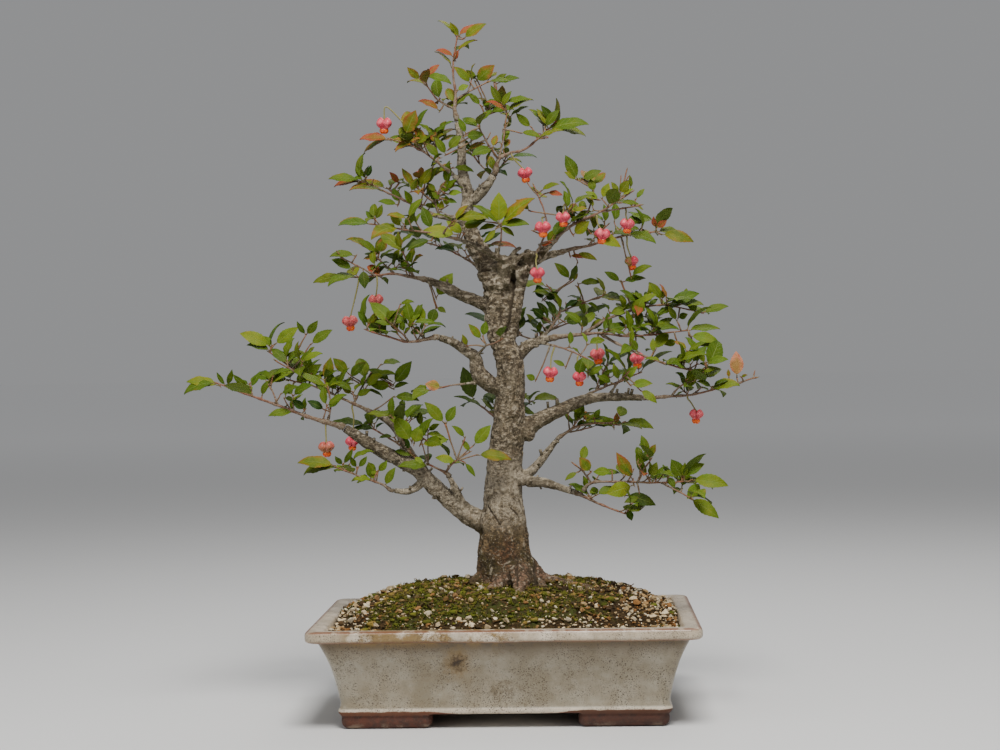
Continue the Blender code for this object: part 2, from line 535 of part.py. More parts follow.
def twig_lines(name):
    """Centre lines and radii of a leafy branch; the main twig leads straight off its limb's end."""
    before, end = (Vector(point[:3]) for point in LIMBS[name][-2:])
    lead = (end - before).normalized()
    lines = []
    for number, (radius, _pairs, _length, points) in enumerate(SPRAYS[name]):
        line = [Vector(point) for point in points]
        if number == 0:
            line = [end + lead * GAP, end + lead * SEAT_LEAD] + line
        last = len(line) - 1
        radii = [radius + (TWIG_TIP_RADIUS - radius) * step / last for step in range(last + 1)]
        lines.append((line, radii))
    return lines


class Leaf:
    """One leaf: where its petiole starts, which way it grows, which way it faces, and its size."""

    def __init__(self, root, heading, facing, length, seed):
        rng = random.Random(seed)
        self.root = root
        self.heading = heading
        self.facing = (facing - heading * facing.dot(heading)).normalized()
        self.length = length * rng.uniform(0.86, 1.14)
        self.width = self.length * rng.uniform(0.42, 0.5)
        self.petiole = rng.uniform(3.4, 5.0)
        self.arch = math.radians(rng.uniform(18, 62))
        self.fold = math.radians(rng.uniform(12, 34))

    def section(self, place, facing, half_width, half_thick):
        """Left edge, top, right edge and bottom of the blade at one place on its midrib."""
        side = self.heading.cross(self.facing)
        out = side * math.cos(self.fold) * half_width
        lift = facing * math.sin(self.fold) * half_width
        return [place - out + lift, place + facing * half_thick, place + out + lift,
                place - facing * half_thick]

    def shell(self, grow=0.0, blade_only=False):
        """Points and faces of the petiole and blade, a closed shape with a pointed tip."""
        half_thick = BLADE_THICKNESS / 2 + grow
        stalk = PETIOLE_WIDTH / 2 + grow
        place = self.root + self.heading * self.petiole
        sections = [] if blade_only else [self.section(self.root, self.facing, stalk, stalk)]
        sections.append(self.section(place, self.facing, stalk, stalk))
        for share, step, width in BLADE_SECTIONS:
            turn = self.arch * share
            heading = self.heading * math.cos(turn) - self.facing * math.sin(turn)
            facing = self.facing * math.cos(turn) + self.heading * math.sin(turn)
            place = place + heading * self.length * step
            sections.append(self.section(place, facing, width * self.width + grow, half_thick))
        heading = self.heading * math.cos(self.arch) - self.facing * math.sin(self.arch)
        tip = place + heading * self.length * BLADE_TIP_STEP
        vertices = [point for section in sections for point in section] + [tip]
        faces = [(0, 1, 2, 3)]
        for level in range(len(sections) - 1):
            low = level * 4
            if level == 0 and not blade_only:
                faces += [(low + after, low + corner, low + corner + 4, low + after + 4)
                          for corner, after in ((0, 1), (1, 2), (2, 3), (3, 0))]
                continue
            for edge, middle in ((0, 1), (2, 1), (2, 3), (0, 3)):
                first = (low + edge, low + middle, low + middle + 4)
                second = (low + edge, low + middle + 4, low + edge + 4)
                outward = (edge, middle) in ((2, 1), (0, 3))
                faces += [first, second] if outward else [first[::-1], second[::-1]]
        low = (len(sections) - 1) * 4
        for corner in range(4):
            faces.append((low + (corner + 1) % 4, low + corner, len(vertices) - 1))
        return vertices, faces


def leaf_try(spray, twig, pair, side, attempt):
    """Lay out one leaf of a pair; each further attempt turns it another way."""
    _radius, pairs, length, _points = SPRAYS[spray][twig]
    line = twig_lines(spray)[twig][0]
    whole = sum((after - before).length for before, after in zip(line, line[1:]))
    share = 1.0 - LAST_PAIR_FROM_TIP / whole - PAIR_SPREAD * (pairs - 1 - pair) / pairs
    root, direction = along(line, share)
    seed = f"{spray}-{twig}-{pair}-{side}-{attempt}"
    rng = random.Random(seed)
    up = Vector((0.0, 0.0, 1.0))
    across = direction.cross(up)
    across = across.normalized() if across.length > 0.2 else Vector((1.0, 0.0, 0.0))
    above = across.cross(direction)
    angle = math.radians(90 * (pair % 2) + 180 * side + rng.uniform(-30, 30) + LEAF_TRY_TURN * attempt)
    outward = across * math.cos(angle) + above * math.sin(angle)
    heading = direction * rng.uniform(0.45, 0.8) + outward * 0.8 + up * rng.uniform(0.15, 0.5)
    if heading.z < -0.1:
        heading.z = 0.1
    heading.normalize()
    facing = up + outward * rng.uniform(-0.25, 0.45) + across * rng.uniform(-0.3, 0.3)
    if heading.z > 0.8:
        facing = direction * -0.5 + up * 0.3 - outward
    return Leaf(root, heading, facing, length, seed)


def tree_of(item):
    """Return a search tree over an object's faces."""
    return BVHTree.FromPolygons([vertex.co / MM for vertex in item.data.vertices],
                                [tuple(face.vertices) for face in item.data.polygons])


def grow_leaves(spray, taken):
    """Return the leaves of one branch, each turned until it is clear of everything in place."""
    leaves = []
    for twig, (_radius, pairs, _length, _points) in enumerate(SPRAYS[spray]):
        for pair in range(pairs):
            for side in (0, 1):
                for attempt in range(LEAF_TRIES):
                    leaf = leaf_try(spray, twig, pair, side, attempt)
                    whole = BVHTree.FromPolygons(*leaf.shell(grow=LEAF_CLEARANCE))
                    blade = BVHTree.FromPolygons(*leaf.shell(grow=LEAF_CLEARANCE, blade_only=True))
                    tests = (blade if owner == spray else whole for owner, _tree in taken)
                    if not any(test.overlap(tree) for test, (_owner, tree) in zip(tests, taken)):
                        taken.append((spray, blade))
                        leaves.append(leaf)
                        break
    return leaves


def build_fruit(name, spray, twig, share, lift, centre, twigs, collection, material):
    """Four-lobed capsule with the aril below it, on a thin stalk that hangs from a twig."""
    seat, direction = along(twig_lines(spray)[twig][0], share)
    middle = Vector(centre)
    leave = Vector((0.0, 0.0, 1.0 if lift else -1.0))
    leave = (leave - direction * leave.dot(direction)).normalized()
    away = seat + leave * STALK_REACH
    hits = [tree_of(shape).ray_cast(away, -leave, STALK_REACH)[0] for shape in twigs[spray]]
    start = min((hit for hit in hits if hit), key=lambda hit: (hit - away).length) + leave * GAP
    top = middle + Vector((0.0, 0.0, CAPSULE_HEIGHT * 0.2))
    bend = start.lerp(middle, 0.4) + Vector((0.0, 0.0, 1.8 * lift))
    stalk = [start, start + leave * 1.6, bend, top]
    fruit = tube(name, stalk, [STALK_DIAMETER / 2] * len(stalk), 4, collection)
    rings = []
    for height, radius, lobed in FRUIT_PROFILE:
        ring = []
        for corner in range(FRUIT_SIDES):
            lobe = lobed if corner % 2 == 0 else -lobed
            angle = math.radians(45) + 2 * math.pi * corner / FRUIT_SIDES
            reach = radius * (1.0 + lobe)
            rise = height + (6.0 * lobe if height > 0 else 0.0)
            ring.append(middle + Vector((reach * math.cos(angle), reach * math.sin(angle), rise)))
        rings.append(ring)
    body = loft(name + "_body", rings[::-1], collection)
    fuse(fruit, [body])
    fruit.data.materials.append(material)
    return fruit


def build_spray(name, twigs, leaves, collection, material):
    """Join a leafy branch's twigs and leaves in one solid."""
    shapes = twigs[1:]
    for number, leaf in enumerate(leaves):
        label = f"{name}_leaf_{number}"
        shapes.append(add_mesh(label, mesh_from(label, *leaf.shell()), collection))
    spray = twigs[0]
    fuse(spray, shapes)
    spray.name = "spray_" + name
    spray.data.materials.append(material)
    return spray


def main():
    """Build every piece and move the plant so that the origin is under its middle."""
    for item in list(bpy.data.objects):
        bpy.data.objects.remove(item)
    parts = bpy.data.collections.new(NAME)
    bpy.context.scene.collection.children.link(parts)
    glaze = finish("celadon_glaze", (0.62, 0.62, 0.55), 0.35)
    plastic = finish("screen_plastic", (0.03, 0.03, 0.03), 0.6)
    grit = finish("gritty_soil", (0.22, 0.16, 0.09), 0.95)
    bark = finish("spindle_bark", (0.30, 0.25, 0.18), 0.85)
    green = finish("leaf_green", (0.16, 0.30, 0.05), 0.5)
    olive = finish("leaf_turning", (0.36, 0.30, 0.07), 0.5)
    pink = finish("capsule_pink", (0.75, 0.16, 0.22), 0.45)
    pieces = [build_pot(parts, glaze)]
    pieces.append(build_screen("drain_screen_left", -1, parts, plastic))
    pieces.append(build_screen("drain_screen_right", 1, parts, plastic))
    pieces.append(build_soil(parts, grit, foot_of_tree(parts, GAP + 0.1)))
    wood = build_wood(parts, bark)
    pieces.append(wood)
    taken = [("wood", tree_of(wood))]
    twigs = {}
    for name in SPRAYS:
        twigs[name] = [tube(f"{name}_twig_{number}", line, radii, sides_for(radii[0]), parts)
                       for number, (line, radii) in enumerate(twig_lines(name))]
        taken += [(name, tree_of(twig)) for twig in twigs[name]]
    for number, fruit in enumerate(FRUITS, start=1):
        piece = build_fruit(f"fruit_{number:02d}", *fruit, twigs, parts, pink)
        pieces.append(piece)
        taken.append((piece.name, tree_of(piece)))
    turning = ("crown", "higher_left", "low_left_front", "mid_left_low", "claw", "big_right")
    for name in SPRAYS:
        leaves = grow_leaves(name, taken)
        pieces.append(build_spray(name, twigs[name], leaves, parts, olive if name in turning else green))
    for piece in pieces:
        piece.location = piece.location + Vector(PLANT_SHIFT) * MM


main()
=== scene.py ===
"""Looks of a fruiting spindle bonsai in a glazed tray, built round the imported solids.

Points are written in millimetres in the frame that stands under the middle of the tray, +X to the right,
+Y to the back and +Z up. The whole plant is moved by PLANT_SHIFT, and everything is built in metres.
"""

import logging
import math
import random
from dataclasses import dataclass, field
from enum import Enum
from functools import reduce
from typing import Iterable, Sequence

import bpy
import numpy as np
from mathutils import Matrix, Vector, noise
from mathutils.kdtree import KDTree


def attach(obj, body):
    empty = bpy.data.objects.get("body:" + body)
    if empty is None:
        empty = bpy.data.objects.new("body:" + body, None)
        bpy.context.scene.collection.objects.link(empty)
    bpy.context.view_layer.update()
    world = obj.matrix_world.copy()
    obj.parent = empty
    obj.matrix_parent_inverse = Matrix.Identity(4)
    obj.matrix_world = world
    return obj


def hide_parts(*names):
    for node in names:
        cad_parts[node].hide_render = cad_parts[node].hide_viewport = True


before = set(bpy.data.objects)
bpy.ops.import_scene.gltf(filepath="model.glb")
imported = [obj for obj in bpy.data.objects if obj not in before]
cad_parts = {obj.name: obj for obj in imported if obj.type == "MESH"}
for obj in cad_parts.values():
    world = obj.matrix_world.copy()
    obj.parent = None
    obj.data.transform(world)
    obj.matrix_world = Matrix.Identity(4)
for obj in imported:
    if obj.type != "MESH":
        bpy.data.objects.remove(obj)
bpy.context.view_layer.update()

LOG = logging.getLogger("spindle_bonsai")
MM = 0.001
PLANT_SHIFT = Vector((18.6, 0.0, 0.0))
UP = Vector((0.0, 0.0, 1.0))
PHOTO_SIZE = (1000, 750)
BODY = "root"
NOISE_SEED = 7

Triple = tuple[float, float, float]
Shape = tuple[np.ndarray, list[tuple[int, ...]]]
Socket = bpy.types.NodeSocket
Piece = bpy.types.Object
Material = bpy.types.Material

# Tray and soil, mm
TRAY_LENGTH = 300.0
TRAY_WIDTH = 225.0
TRAY_HEIGHT = 78.0
LIP_WIDTH = 13.0
FLOOR_UNDERSIDE = 12.0
FLOOR_TOP = 24.0
SOIL_EDGE_HEIGHT = 75.0
SOIL_CROWN_HEIGHT = 103.0
INNER_HALF_LENGTH = TRAY_LENGTH / 2 - LIP_WIDTH
INNER_HALF_WIDTH = TRAY_WIDTH / 2 - LIP_WIDTH

# Tree
GAP = 0.3
SEAT_LEAD = 2.4
TWIG_TIP_RADIUS = 0.95
LAST_PAIR_FROM_TIP = 1.6
PAIR_SPREAD = 0.56
LEAF_TRIES = 14
LEAF_TRY_TURN = 12
BLADE_STEPS = ((0.25, 0.30), (0.65, 0.34), (1.0, 0.36))

# Trunk and limbs: centre line points with the radius there.
LIMBS = {
    "crown": [(2, 0, 84, 27), (2, 0, 100, 25.5), (0, 0, 113, 23), (-1, 0, 128, 20.5), (-2, 1, 148, 17.8),
        (-2, 2, 168, 16), (-1, 3, 189, 15), (1, 2, 209, 14.2), (4, 0, 230, 13), (5, -2, 250, 11.8),
        (6, -4, 271, 11.5), (4, -4, 284, 11), (-1, -3, 298, 10), (-5, -1, 314, 9.5), (-5, 0, 332, 10),
        (-6, 2, 347, 10.5), (-13, 4, 362, 9), (-21, 5, 374, 8), (-25, 5, 386, 6.6), (-28, 5, 398, 5.6),
        (-27, 5, 416, 4.8), (-31, 3, 438, 4), (-31, 1, 457, 3.5), (-34, 0, 474, 2.8)],
    "right_fork": [(4, -5, 298, 7), (8, -6, 314, 7), (11, -5, 331, 7), (15, -5, 346, 6.6),
        (20, -4, 356, 5.6), (26, -5, 362, 4.8)],
    "crown_right": [(-33, 0, 468, 2), (-27, 6, 473, 1.2)],
    "second_leader": [(-27, 4, 406, 4), (-14, -2, 417, 3.6), (-5, -6, 430, 3)],
    "higher_left": [(-28, 4, 419, 2.8), (-38, 0, 431, 2.2)],
    "high_left": [(-26, 5, 391, 3.6), (-38, 5, 396, 3), (-52, 7, 399, 2.4)],
    "front_left": [(15, -6, 346, 4), (8, -13, 358, 3.4), (-6, -17, 365, 2.8), (-18, -20, 372, 2.4),
        (-31, -24, 377, 2)],
    "fork_upright": [(-3, -16, 364, 2), (0, -22, 375, 1.2)],
    "upper_left": [(-6, 0, 321, 5.4), (-20, 2, 329, 5.4), (-33, 4, 334, 4.8), (-46, 7, 341, 4),
        (-60, 11, 347, 3)],
    "mid_left": [(0, -3, 257, 6), (-10, -7, 262, 7), (-20, -9, 272, 6.4), (-22, -10, 284, 5.2),
        (-29, -13, 289, 4.2), (-39, -16, 296, 3.6), (-50, -19, 300, 3)],
    "mid_left_inner": [(-22, -11, 284, 2), (-14, -18, 292, 1.3)],
    "mid_left_low": [(-16, -9, 264, 2.4), (-30, -14, 263, 1.3)],
    "low_left": [(-4, -1, 143, 10.5), (-20, -4, 152, 10.2), (-33, -6, 160, 9.4), (-56, -9, 180, 8),
        (-72, -11, 196, 6.6), (-100, -13, 211, 4.8), (-127, -16, 229, 3.4)],
    "low_left_back": [(-70, -9, 194, 4.6), (-84, -4, 222, 3.6), (-94, -1, 234, 3), (-107, 2, 241, 2.4)],
    "low_left_front": [(-64, -12, 186, 4), (-76, -20, 178, 3), (-88, -25, 179, 2.2)],
    "low_left_mid": [(-75, -11, 199, 2.4), (-79, -16, 213, 1.6)],
    "knee": [(-32, -7, 160, 5.4), (-38, -14, 176, 4.2), (-44, -18, 189, 3)],
    "low_right": [(6, -3, 187, 5), (20, -9, 184, 4.6), (31, -13, 183, 4), (42, -17, 180, 3.2),
        (54, -21, 176, 2.8)],
    "low_right_back": [(4, 3, 178, 4.8), (17, 4, 188, 4.2), (26, 6, 196, 3.6), (34, 8, 206, 3),
        (42, 10, 216, 2.4)],
    "big_right": [(4, 1, 221, 9), (16, 2, 226, 8.4), (27, 2, 232, 7), (38, 2, 237, 6.2), (49, 3, 242, 5.4),
        (61, 3, 247, 4.6), (75, 4, 250, 4), (98, 5, 250, 3.2), (112, 6, 249, 2.6)],
    "big_right_mid": [(84, 4, 250, 2.2), (89, -2, 258, 1.4)],
    "big_right_back": [(60, 4, 247, 2.8), (67, 15, 252, 1.8)],
    "mid_right": [(8, 0, 280, 5.2), (18, 2, 291, 4.6), (27, 3, 296, 4), (37, 5, 298, 3.2)],
    "mid_right_back": [(28, 4, 296, 2.6), (37, 16, 305, 1.8)],
    "mid_right_front": [(28, 2, 296, 2.4), (38, -7, 293, 1.5)],
    "right_front": [(23, -5, 359, 4.4), (31, -9, 366, 3.8), (40, -12, 374, 3)],
    "right_back": [(23, -4, 358, 4.2), (34, 0, 364, 3.4), (45, 4, 367, 2.8)],
    "claw": [(22, -7, 358, 2.4), (27, -15, 365, 1.6)],
    "back_left": [(-58, -8, 182, 4), (-67, 10, 196, 2.8), (-76, 24, 206, 2)],
    "back_low": [(0, 6, 198, 5.4), (4, 26, 212, 4), (0, 42, 224, 2.8)],
    "back_mid": [(5, 2, 266, 4.8), (12, 22, 282, 3.6), (22, 38, 292, 2.4)],
    "back_high": [(-5, 4, 336, 4), (-14, 24, 350, 2.8), (-22, 36, 359, 2)],
    "back_top": [(-27, 7, 410, 2.6), (-17, 20, 423, 1.6)],
}

# Roots: direction round the trunk in degrees, how far out the root dives, and its thickness.
ROOTS = [(-8, 66, 9.0), (-43, 43, 7.5), (-75, 41, 10.3), (-110, 39, 7.5), (-166, 30, 6.5), (130, 44, 9.0),
         (52, 48, 9.0)]

# Knuckles and old cuts on the bark: centre and radius.
BURLS = [(-4, -2, 344, 11.5), (1, -10, 351, 4.6), (4, -10, 345, 4.4), (-4, -8, 357, 4.2), (14, -8, 353, 4.6),
         (19, -8, 361, 4.4), (24, -8, 356, 3.6), (-14, -3, 350, 5.5), (8, -9, 238, 4.5), (-31, -8, 156, 5.0),
         (19, -1, 221, 5.5), (14, -4, 186, 4.5), (-12, -11, 176, 4.0), (28, -7, 363, 3.8), (9, -8, 355, 4.8),
         (12, -7, 363, 4.2), (21, -7, 367, 3.4), (15, -8, 343, 3.6), (5, -7, 359, 4.6), (9, -5, 349, 4.4)]

# Grooves seen from the front: depth in mm, then points from the top down with x, height and half width.
GROOVES = [(4.0, [(10, 353, 1.4), (9, 343, 2.8), (7, 330, 3.2), (4.5, 314, 2.4), (2, 301, 1.1)]),
           (2.0, [(3.0, 114, 1.2), (3.5, 106, 2.6), (4.0, 98, 3.2)]),
           (1.6, [(23.0, 120, 1.0), (23.5, 110, 1.8), (24.0, 99, 2.4)]),
           (1.7, [(-16.5, 171, 1.2), (-17, 162, 2.0), (-19, 152, 1.7), (-20, 141, 1.2)]),
           (1.0, [(-13.5, 164, 0.9), (-8, 157, 1.2), (-3.5, 150, 0.8)]),
           (1.0, [(16, 186, 1.2), (17, 178, 1.5), (16, 171, 0.8)]),
           (1.4, [(0.5, 149, 1.0), (1.0, 146.5, 1.8), (1.5, 144, 0.8)]),
           (0.8, [(10, 122, 0.8), (9, 112, 1.6), (10, 103, 1.6)])]

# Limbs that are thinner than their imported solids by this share.
SLIMMER = {"right_fork": 0.92, "low_left": 0.87, "knee": 0.76}

# Wood that fills the back of the crease and the foot of the trunk: centre lines with radii.
FILLETS = [[(6, 3, 300, 7), (6, 3, 325, 7.5), (7, 2, 350, 7.5), (8, 0, 360, 6)],
           [(6, -9, 347, 3.2), (3, -13, 354, 2.8), (6, -15, 361, 2.4), (10, -13, 366, 1.8)],
           [(12, -9, 350, 3.0), (9, -14, 356, 2.6), (13, -16, 362, 2.3), (19, -14, 366, 2.0)],
           [(17, -8, 343, 3.0), (13, -13, 347, 2.5), (16, -16, 352, 2.2), (22, -15, 356, 1.8)],
           [(9, -8, 356, 2.8), (8, -13, 362, 2.4), (11, -15, 368, 2.0), (16, -13, 371, 1.6)],
           [(20, -8, 357, 2.8), (20, -13, 363, 2.2), (24, -15, 367, 1.7), (28, -13, 367, 1.3)],
           [(2, -10, 350, 2.8), (-2, -14, 356, 2.4), (0, -15, 362, 2.0), (4, -14, 365, 1.5)],
           [(-13, -1, 112, 12), (-11, -1, 134, 10)],
           [(-2, 0, 110, 22.5), (-2, 0, 126, 21.5), (-1.5, 0, 141, 20), (-1, 0, 158, 17.4), (0, 0, 176, 13)]]

# Leafy branches, main twig first: radius at the start, leaf pairs, leaf length and the centre line.
SPRAYS = {
    "crown": [
        (2.8, 3, 20, [(-36, 0, 484), (-35, 2, 496), (-37, 3, 511), (-36, 4, 527), (-33, 5, 544)]),
        (1.2, 1, 20, [(-36, 0, 484), (-49, -5, 491), (-58, -9, 503)]),
        (1.2, 1, 20, [(-35, 2, 492), (-22, 7, 500), (-9, 11, 507)])],
    "crown_right": [
        (1.2, 2, 21, [(-20, 12, 476), (-12, 17, 480), (-1, 21, 485)])],
    "second_leader": [
        (3.0, 2, 23, [(-1, -9, 442), (8, -8, 447), (20, -5, 450), (33, -1, 460), (46, 4, 466)]),
        (1.4, 1, 20, [(-1, -9, 442), (-9, -14, 454), (-16, -18, 467)]),
        (1.3, 1, 20, [(-1, -9, 442), (3, -7, 458), (6, -5, 480)])],
    "higher_left": [
        (2.2, 2, 23, [(-50, -4, 441), (-60, -7, 449), (-72, -10, 455), (-88, -14, 460)]),
        (1.2, 1, 23, [(-60, -7, 449), (-67, -10, 457), (-70, -13, 465)]),
        (1.2, 1, 22, [(-50, -4, 441), (-51, 4, 450), (-54, 11, 458)])],
    "high_left": [
        (2.4, 2, 24, [(-66, 10, 406), (-82, 13, 414), (-99, 16, 422), (-115, 19, 429)]),
        (1.2, 1, 23, [(-66, 10, 406), (-63, 4, 417), (-60, 0, 428)]),
        (1.2, 1, 23, [(-82, 13, 414), (-87, 22, 418), (-94, 31, 424)])],
    "front_left": [
        (2.0, 2, 26, [(-46, -28, 381), (-62, -32, 384), (-78, -37, 386), (-101, -43, 390)]),
        (1.2, 1, 26, [(-46, -28, 381), (-41, -36, 387), (-36, -43, 391)])],
    "fork_upright": [
        (1.2, 1, 29, [(1, -26, 386), (1, -27, 389)])],
    "upper_left": [
        (3.0, 1, 26, [(-73, 14, 350), (-88, 18, 353), (-104, 20, 352), (-120, 22, 351)]),
        (1.4, 1, 26, [(-73, 14, 350), (-76, 8, 360), (-80, 2, 370)]),
        (1.3, 1, 25, [(-88, 18, 353), (-98, 27, 362), (-108, 34, 371)]),
        (1.2, 1, 25, [(-104, 20, 352), (-118, 14, 360), (-130, 9, 366)])],
    "mid_left": [
        (3.0, 2, 25, [(-61, -21, 299), (-74, -24, 297), (-86, -27, 300), (-107, -32, 307)]),
        (1.5, 1, 25, [(-61, -21, 299), (-72, -14, 310), (-96, -6, 321)]),
        (1.2, 1, 24, [(-74, -24, 297), (-79, -32, 304), (-85, -38, 310)])],
    "mid_left_inner": [
        (1.3, 1, 21, [(-6, -24, 295), (0, -27, 298)])],
    "mid_left_low": [
        (1.3, 1, 21, [(-40, -15, 262), (-50, -16, 260), (-60, -18, 258)])],
    "low_left": [
        (3.4, 2, 28, [(-155, -18, 238), (-180, -20, 248), (-206, -23, 258), (-229, -25, 267)]),
        (1.5, 1, 26, [(-141, -17, 233), (-139, -9, 248), (-142, -3, 262)]),
        (1.3, 1, 26, [(-180, -20, 248), (-185, -12, 258), (-191, -6, 267)])],
    "low_left_back": [
        (2.4, 2, 27, [(-122, 5, 248), (-139, 9, 256), (-160, 12, 269), (-192, 16, 291)]),
        (1.4, 2, 26, [(-122, 5, 248), (-116, 13, 261), (-108, 20, 274)]),
        (1.4, 1, 27, [(-139, 9, 256), (-158, 20, 263), (-178, 28, 268)]),
        (1.3, 1, 27, [(-160, 12, 269), (-172, 4, 276), (-184, -2, 284)])],
    "low_left_front": [
        (2.2, 2, 27, [(-98, -29, 185), (-112, -33, 190), (-132, -37, 199)])],
    "low_left_mid": [
        (1.6, 1, 25, [(-82, -18, 224), (-78, -20, 234)]),
        (1.2, 1, 25, [(-82, -18, 223), (-69, -22, 222), (-59, -24, 217)])],
    "knee": [
        (3.0, 1, 23, [(-52, -18, 195), (-61, -16, 199)]),
        (1.5, 1, 25, [(-47, -18, 192), (-40, -24, 202), (-24, -28, 206), (-14, -30, 208)])],
    "low_right": [
        (2.8, 1, 20, [(64, -26, 172), (74, -30, 167), (84, -35, 163), (96, -40, 159)]),
        (2.0, 2, 28, [(60, -24, 174), (69, -28, 183), (88, -31, 184), (124, -37, 183), (142, -39, 184)]),
        (1.2, 1, 23, [(69, -28, 183), (63, -31, 192), (55, -33, 199)]),
        (1.2, 1, 26, [(105, -34, 183), (110, -39, 193), (116, -43, 202)]),
        (1.2, 1, 28, [(124, -37, 183), (136, -42, 177), (147, -46, 171)])],
    "low_right_back": [
        (2.4, 1, 26, [(50, 12, 222), (60, 15, 227), (78, 19, 229), (92, 22, 227)]),
        (1.3, 1, 25, [(50, 12, 222), (60, 24, 223), (70, 33, 225)])],
    "big_right": [
        (2.6, 2, 23, [(135, 8, 250), (152, 9, 251), (170, 10, 255), (189, 12, 259)]),
        (1.3, 1, 26, [(135, 8, 250), (142, 1, 258), (154, -5, 263)]),
        (1.3, 1, 26, [(152, 9, 251), (162, 19, 258), (172, 28, 263)])],
    "big_right_mid": [
        (1.4, 1, 26, [(94, -8, 264), (100, -14, 270)])],
    "big_right_back": [
        (1.8, 1, 26, [(82, 30, 258), (98, 46, 264), (112, 58, 269)]),
        (1.2, 1, 25, [(82, 30, 258), (80, 42, 268), (84, 54, 276)])],
    "mid_right": [
        (3.2, 2, 26, [(50, 7, 300), (64, 9, 301), (78, 11, 302), (104, 13, 299), (150, 18, 303)]),
        (1.9, 2, 26, [(64, 9, 301), (84, 17, 313), (112, 23, 322), (132, 27, 324), (156, 32, 319)]),
        (1.8, 2, 26, [(78, 11, 302), (94, 2, 292), (120, -4, 280), (150, -6, 271), (164, -6, 272)]),
        (1.2, 1, 25, [(104, 13, 299), (113, 21, 307), (124, 28, 311)])],
    "mid_right_back": [
        (1.8, 1, 26, [(46, 26, 320), (43, 34, 332), (36, 40, 342)]),
        (1.3, 1, 26, [(46, 26, 320), (62, 33, 326), (78, 38, 332)])],
    "mid_right_front": [
        (1.5, 1, 25, [(54, -14, 288), (68, -20, 281)])],
    "right_front": [
        (3.0, 2, 25, [(51, -15, 384), (66, -18, 392), (80, -21, 398), (105, -26, 413)]),
        (1.3, 1, 24, [(51, -15, 384), (53, -23, 395), (59, -29, 403)]),
        (1.4, 1, 25, [(66, -18, 392), (72, -12, 404), (75, -8, 418)]),
        (1.3, 1, 25, [(80, -21, 398), (95, -18, 400), (112, -16, 403)]),
        (1.3, 1, 25, [(90, -23, 404), (97, -24, 417), (101, -24, 430)])],
    "right_back": [
        (2.8, 2, 26, [(56, 7, 370), (70, 11, 373), (84, 15, 377), (101, 19, 381), (126, 25, 384)]),
        (1.3, 1, 25, [(70, 11, 373), (78, 4, 382), (86, 1, 389)]),
        (1.3, 1, 25, [(84, 15, 377), (92, 27, 384), (100, 36, 390)])],
    "claw": [
        (1.6, 1, 21, [(32, -19, 373), (37, -21, 385), (35, -20, 400), (27, -18, 420)]),
        (1.2, 1, 22, [(32, -19, 373), (44, -26, 377), (52, -30, 383)])],
    "back_left": [
        (2.0, 1, 27, [(-90, 38, 214), (-104, 50, 222), (-117, 61, 228)]),
        (1.3, 1, 26, [(-90, 38, 214), (-86, 50, 224), (-84, 62, 232)])],
    "back_low": [
        (2.8, 2, 26, [(-8, 56, 232), (-18, 72, 240), (-29, 87, 247)]),
        (1.4, 1, 26, [(-4, 50, 229), (8, 66, 238), (20, 80, 246)])],
    "back_mid": [
        (2.4, 1, 26, [(30, 52, 300), (38, 66, 306), (46, 81, 312)]),
        (1.4, 1, 26, [(27, 46, 296), (10, 56, 303), (-8, 64, 310)]),
        (1.3, 1, 25, [(38, 66, 306), (54, 70, 312), (68, 73, 316)])],
    "back_high": [
        (2.0, 1, 25, [(-32, 48, 366), (-42, 60, 372), (-52, 72, 378)]),
        (1.3, 1, 25, [(-32, 48, 366), (-24, 60, 372), (-14, 70, 378)]),
        (1.2, 1, 25, [(-42, 60, 372), (-57, 58, 378), (-71, 54, 382)])],
    "back_top": [
        (1.6, 1, 23, [(-8, 30, 433), (0, 42, 442), (6, 52, 449)]),
        (1.2, 1, 22, [(-8, 30, 433), (-18, 38, 443), (-25, 44, 452)])],
}

# Fruits: branch, twig, share of the twig where the stalk starts, lift of its arch, capsule's centre.
FRUITS = [
    ("higher_left", 1, 0.60, 22, (-92, -13, 472)),
    ("second_leader", 0, 0.36, 0, (20, -5, 431)),
    ("claw", 0, 0.55, 0, (34, -27, 386)),
    ("right_front", 1, 0.70, 8, (50, -34, 393)),
    ("right_front", 0, 0.56, 0, (81, -21, 380)),
    ("right_front", 3, 0.62, 0, (101, -17, 388)),
    ("right_back", 0, 0.70, 0, (105, 20, 360)),
    ("claw", 0, 0.03, 0, (29, -22, 350)),
    ("upper_left", 0, 0.72, 0, (-104, 20, 332)),
    ("upper_left", 0, 0.97, 0, (-126, 24, 315)),
    ("mid_right", 0, 0.35, 0, (76, 11, 285)),
    ("mid_right_front", 0, 0.12, 0, (38, -12, 271)),
    ("mid_right_front", 0, 0.75, 0, (61, -19, 267)),
    ("mid_right", 0, 0.62, 0, (108, 13, 281)),
    ("big_right", 0, 0.46, 0, (155, 9, 235)),
    ("low_left_back", 0, 0.17, 0, (-124, 8, 217)),
    ("low_left", 0, 0.14, 0, (-142, -18, 214)),
]
HALF_RIPE = 7
DULL = 17

# Pixels of twig ends that stay bare, with the depth in mm up to which leaves keep clear of them, and how
# near a leaf's middle may come, in pixels.
FRONT_DEPTH = 60.0
CLEAR_REACH = 10.5
BARE_ENDS = [(758, 383, FRONT_DEPTH), (766, 384, FRONT_DEPTH)]

# Pixels between the leaf pads that stay open.
OPEN_SPOTS = [(x, y, FRONT_DEPTH) for x, y in (
    (612, 166), (624, 156), (632, 170), (651, 191), (366, 353), (381, 357), (338, 244), (587, 299),
    (552, 277), (260, 361), (210, 360), (613, 221), (379, 173), (448, 37), (487, 398), (539, 172),
    (364, 202), (708, 291), (567, 454), (468, 58), (491, 125), (661, 445), (635, 461), (599, 461),
    (755, 364), (470, 402), (276, 396), (345, 337), (246, 367))]

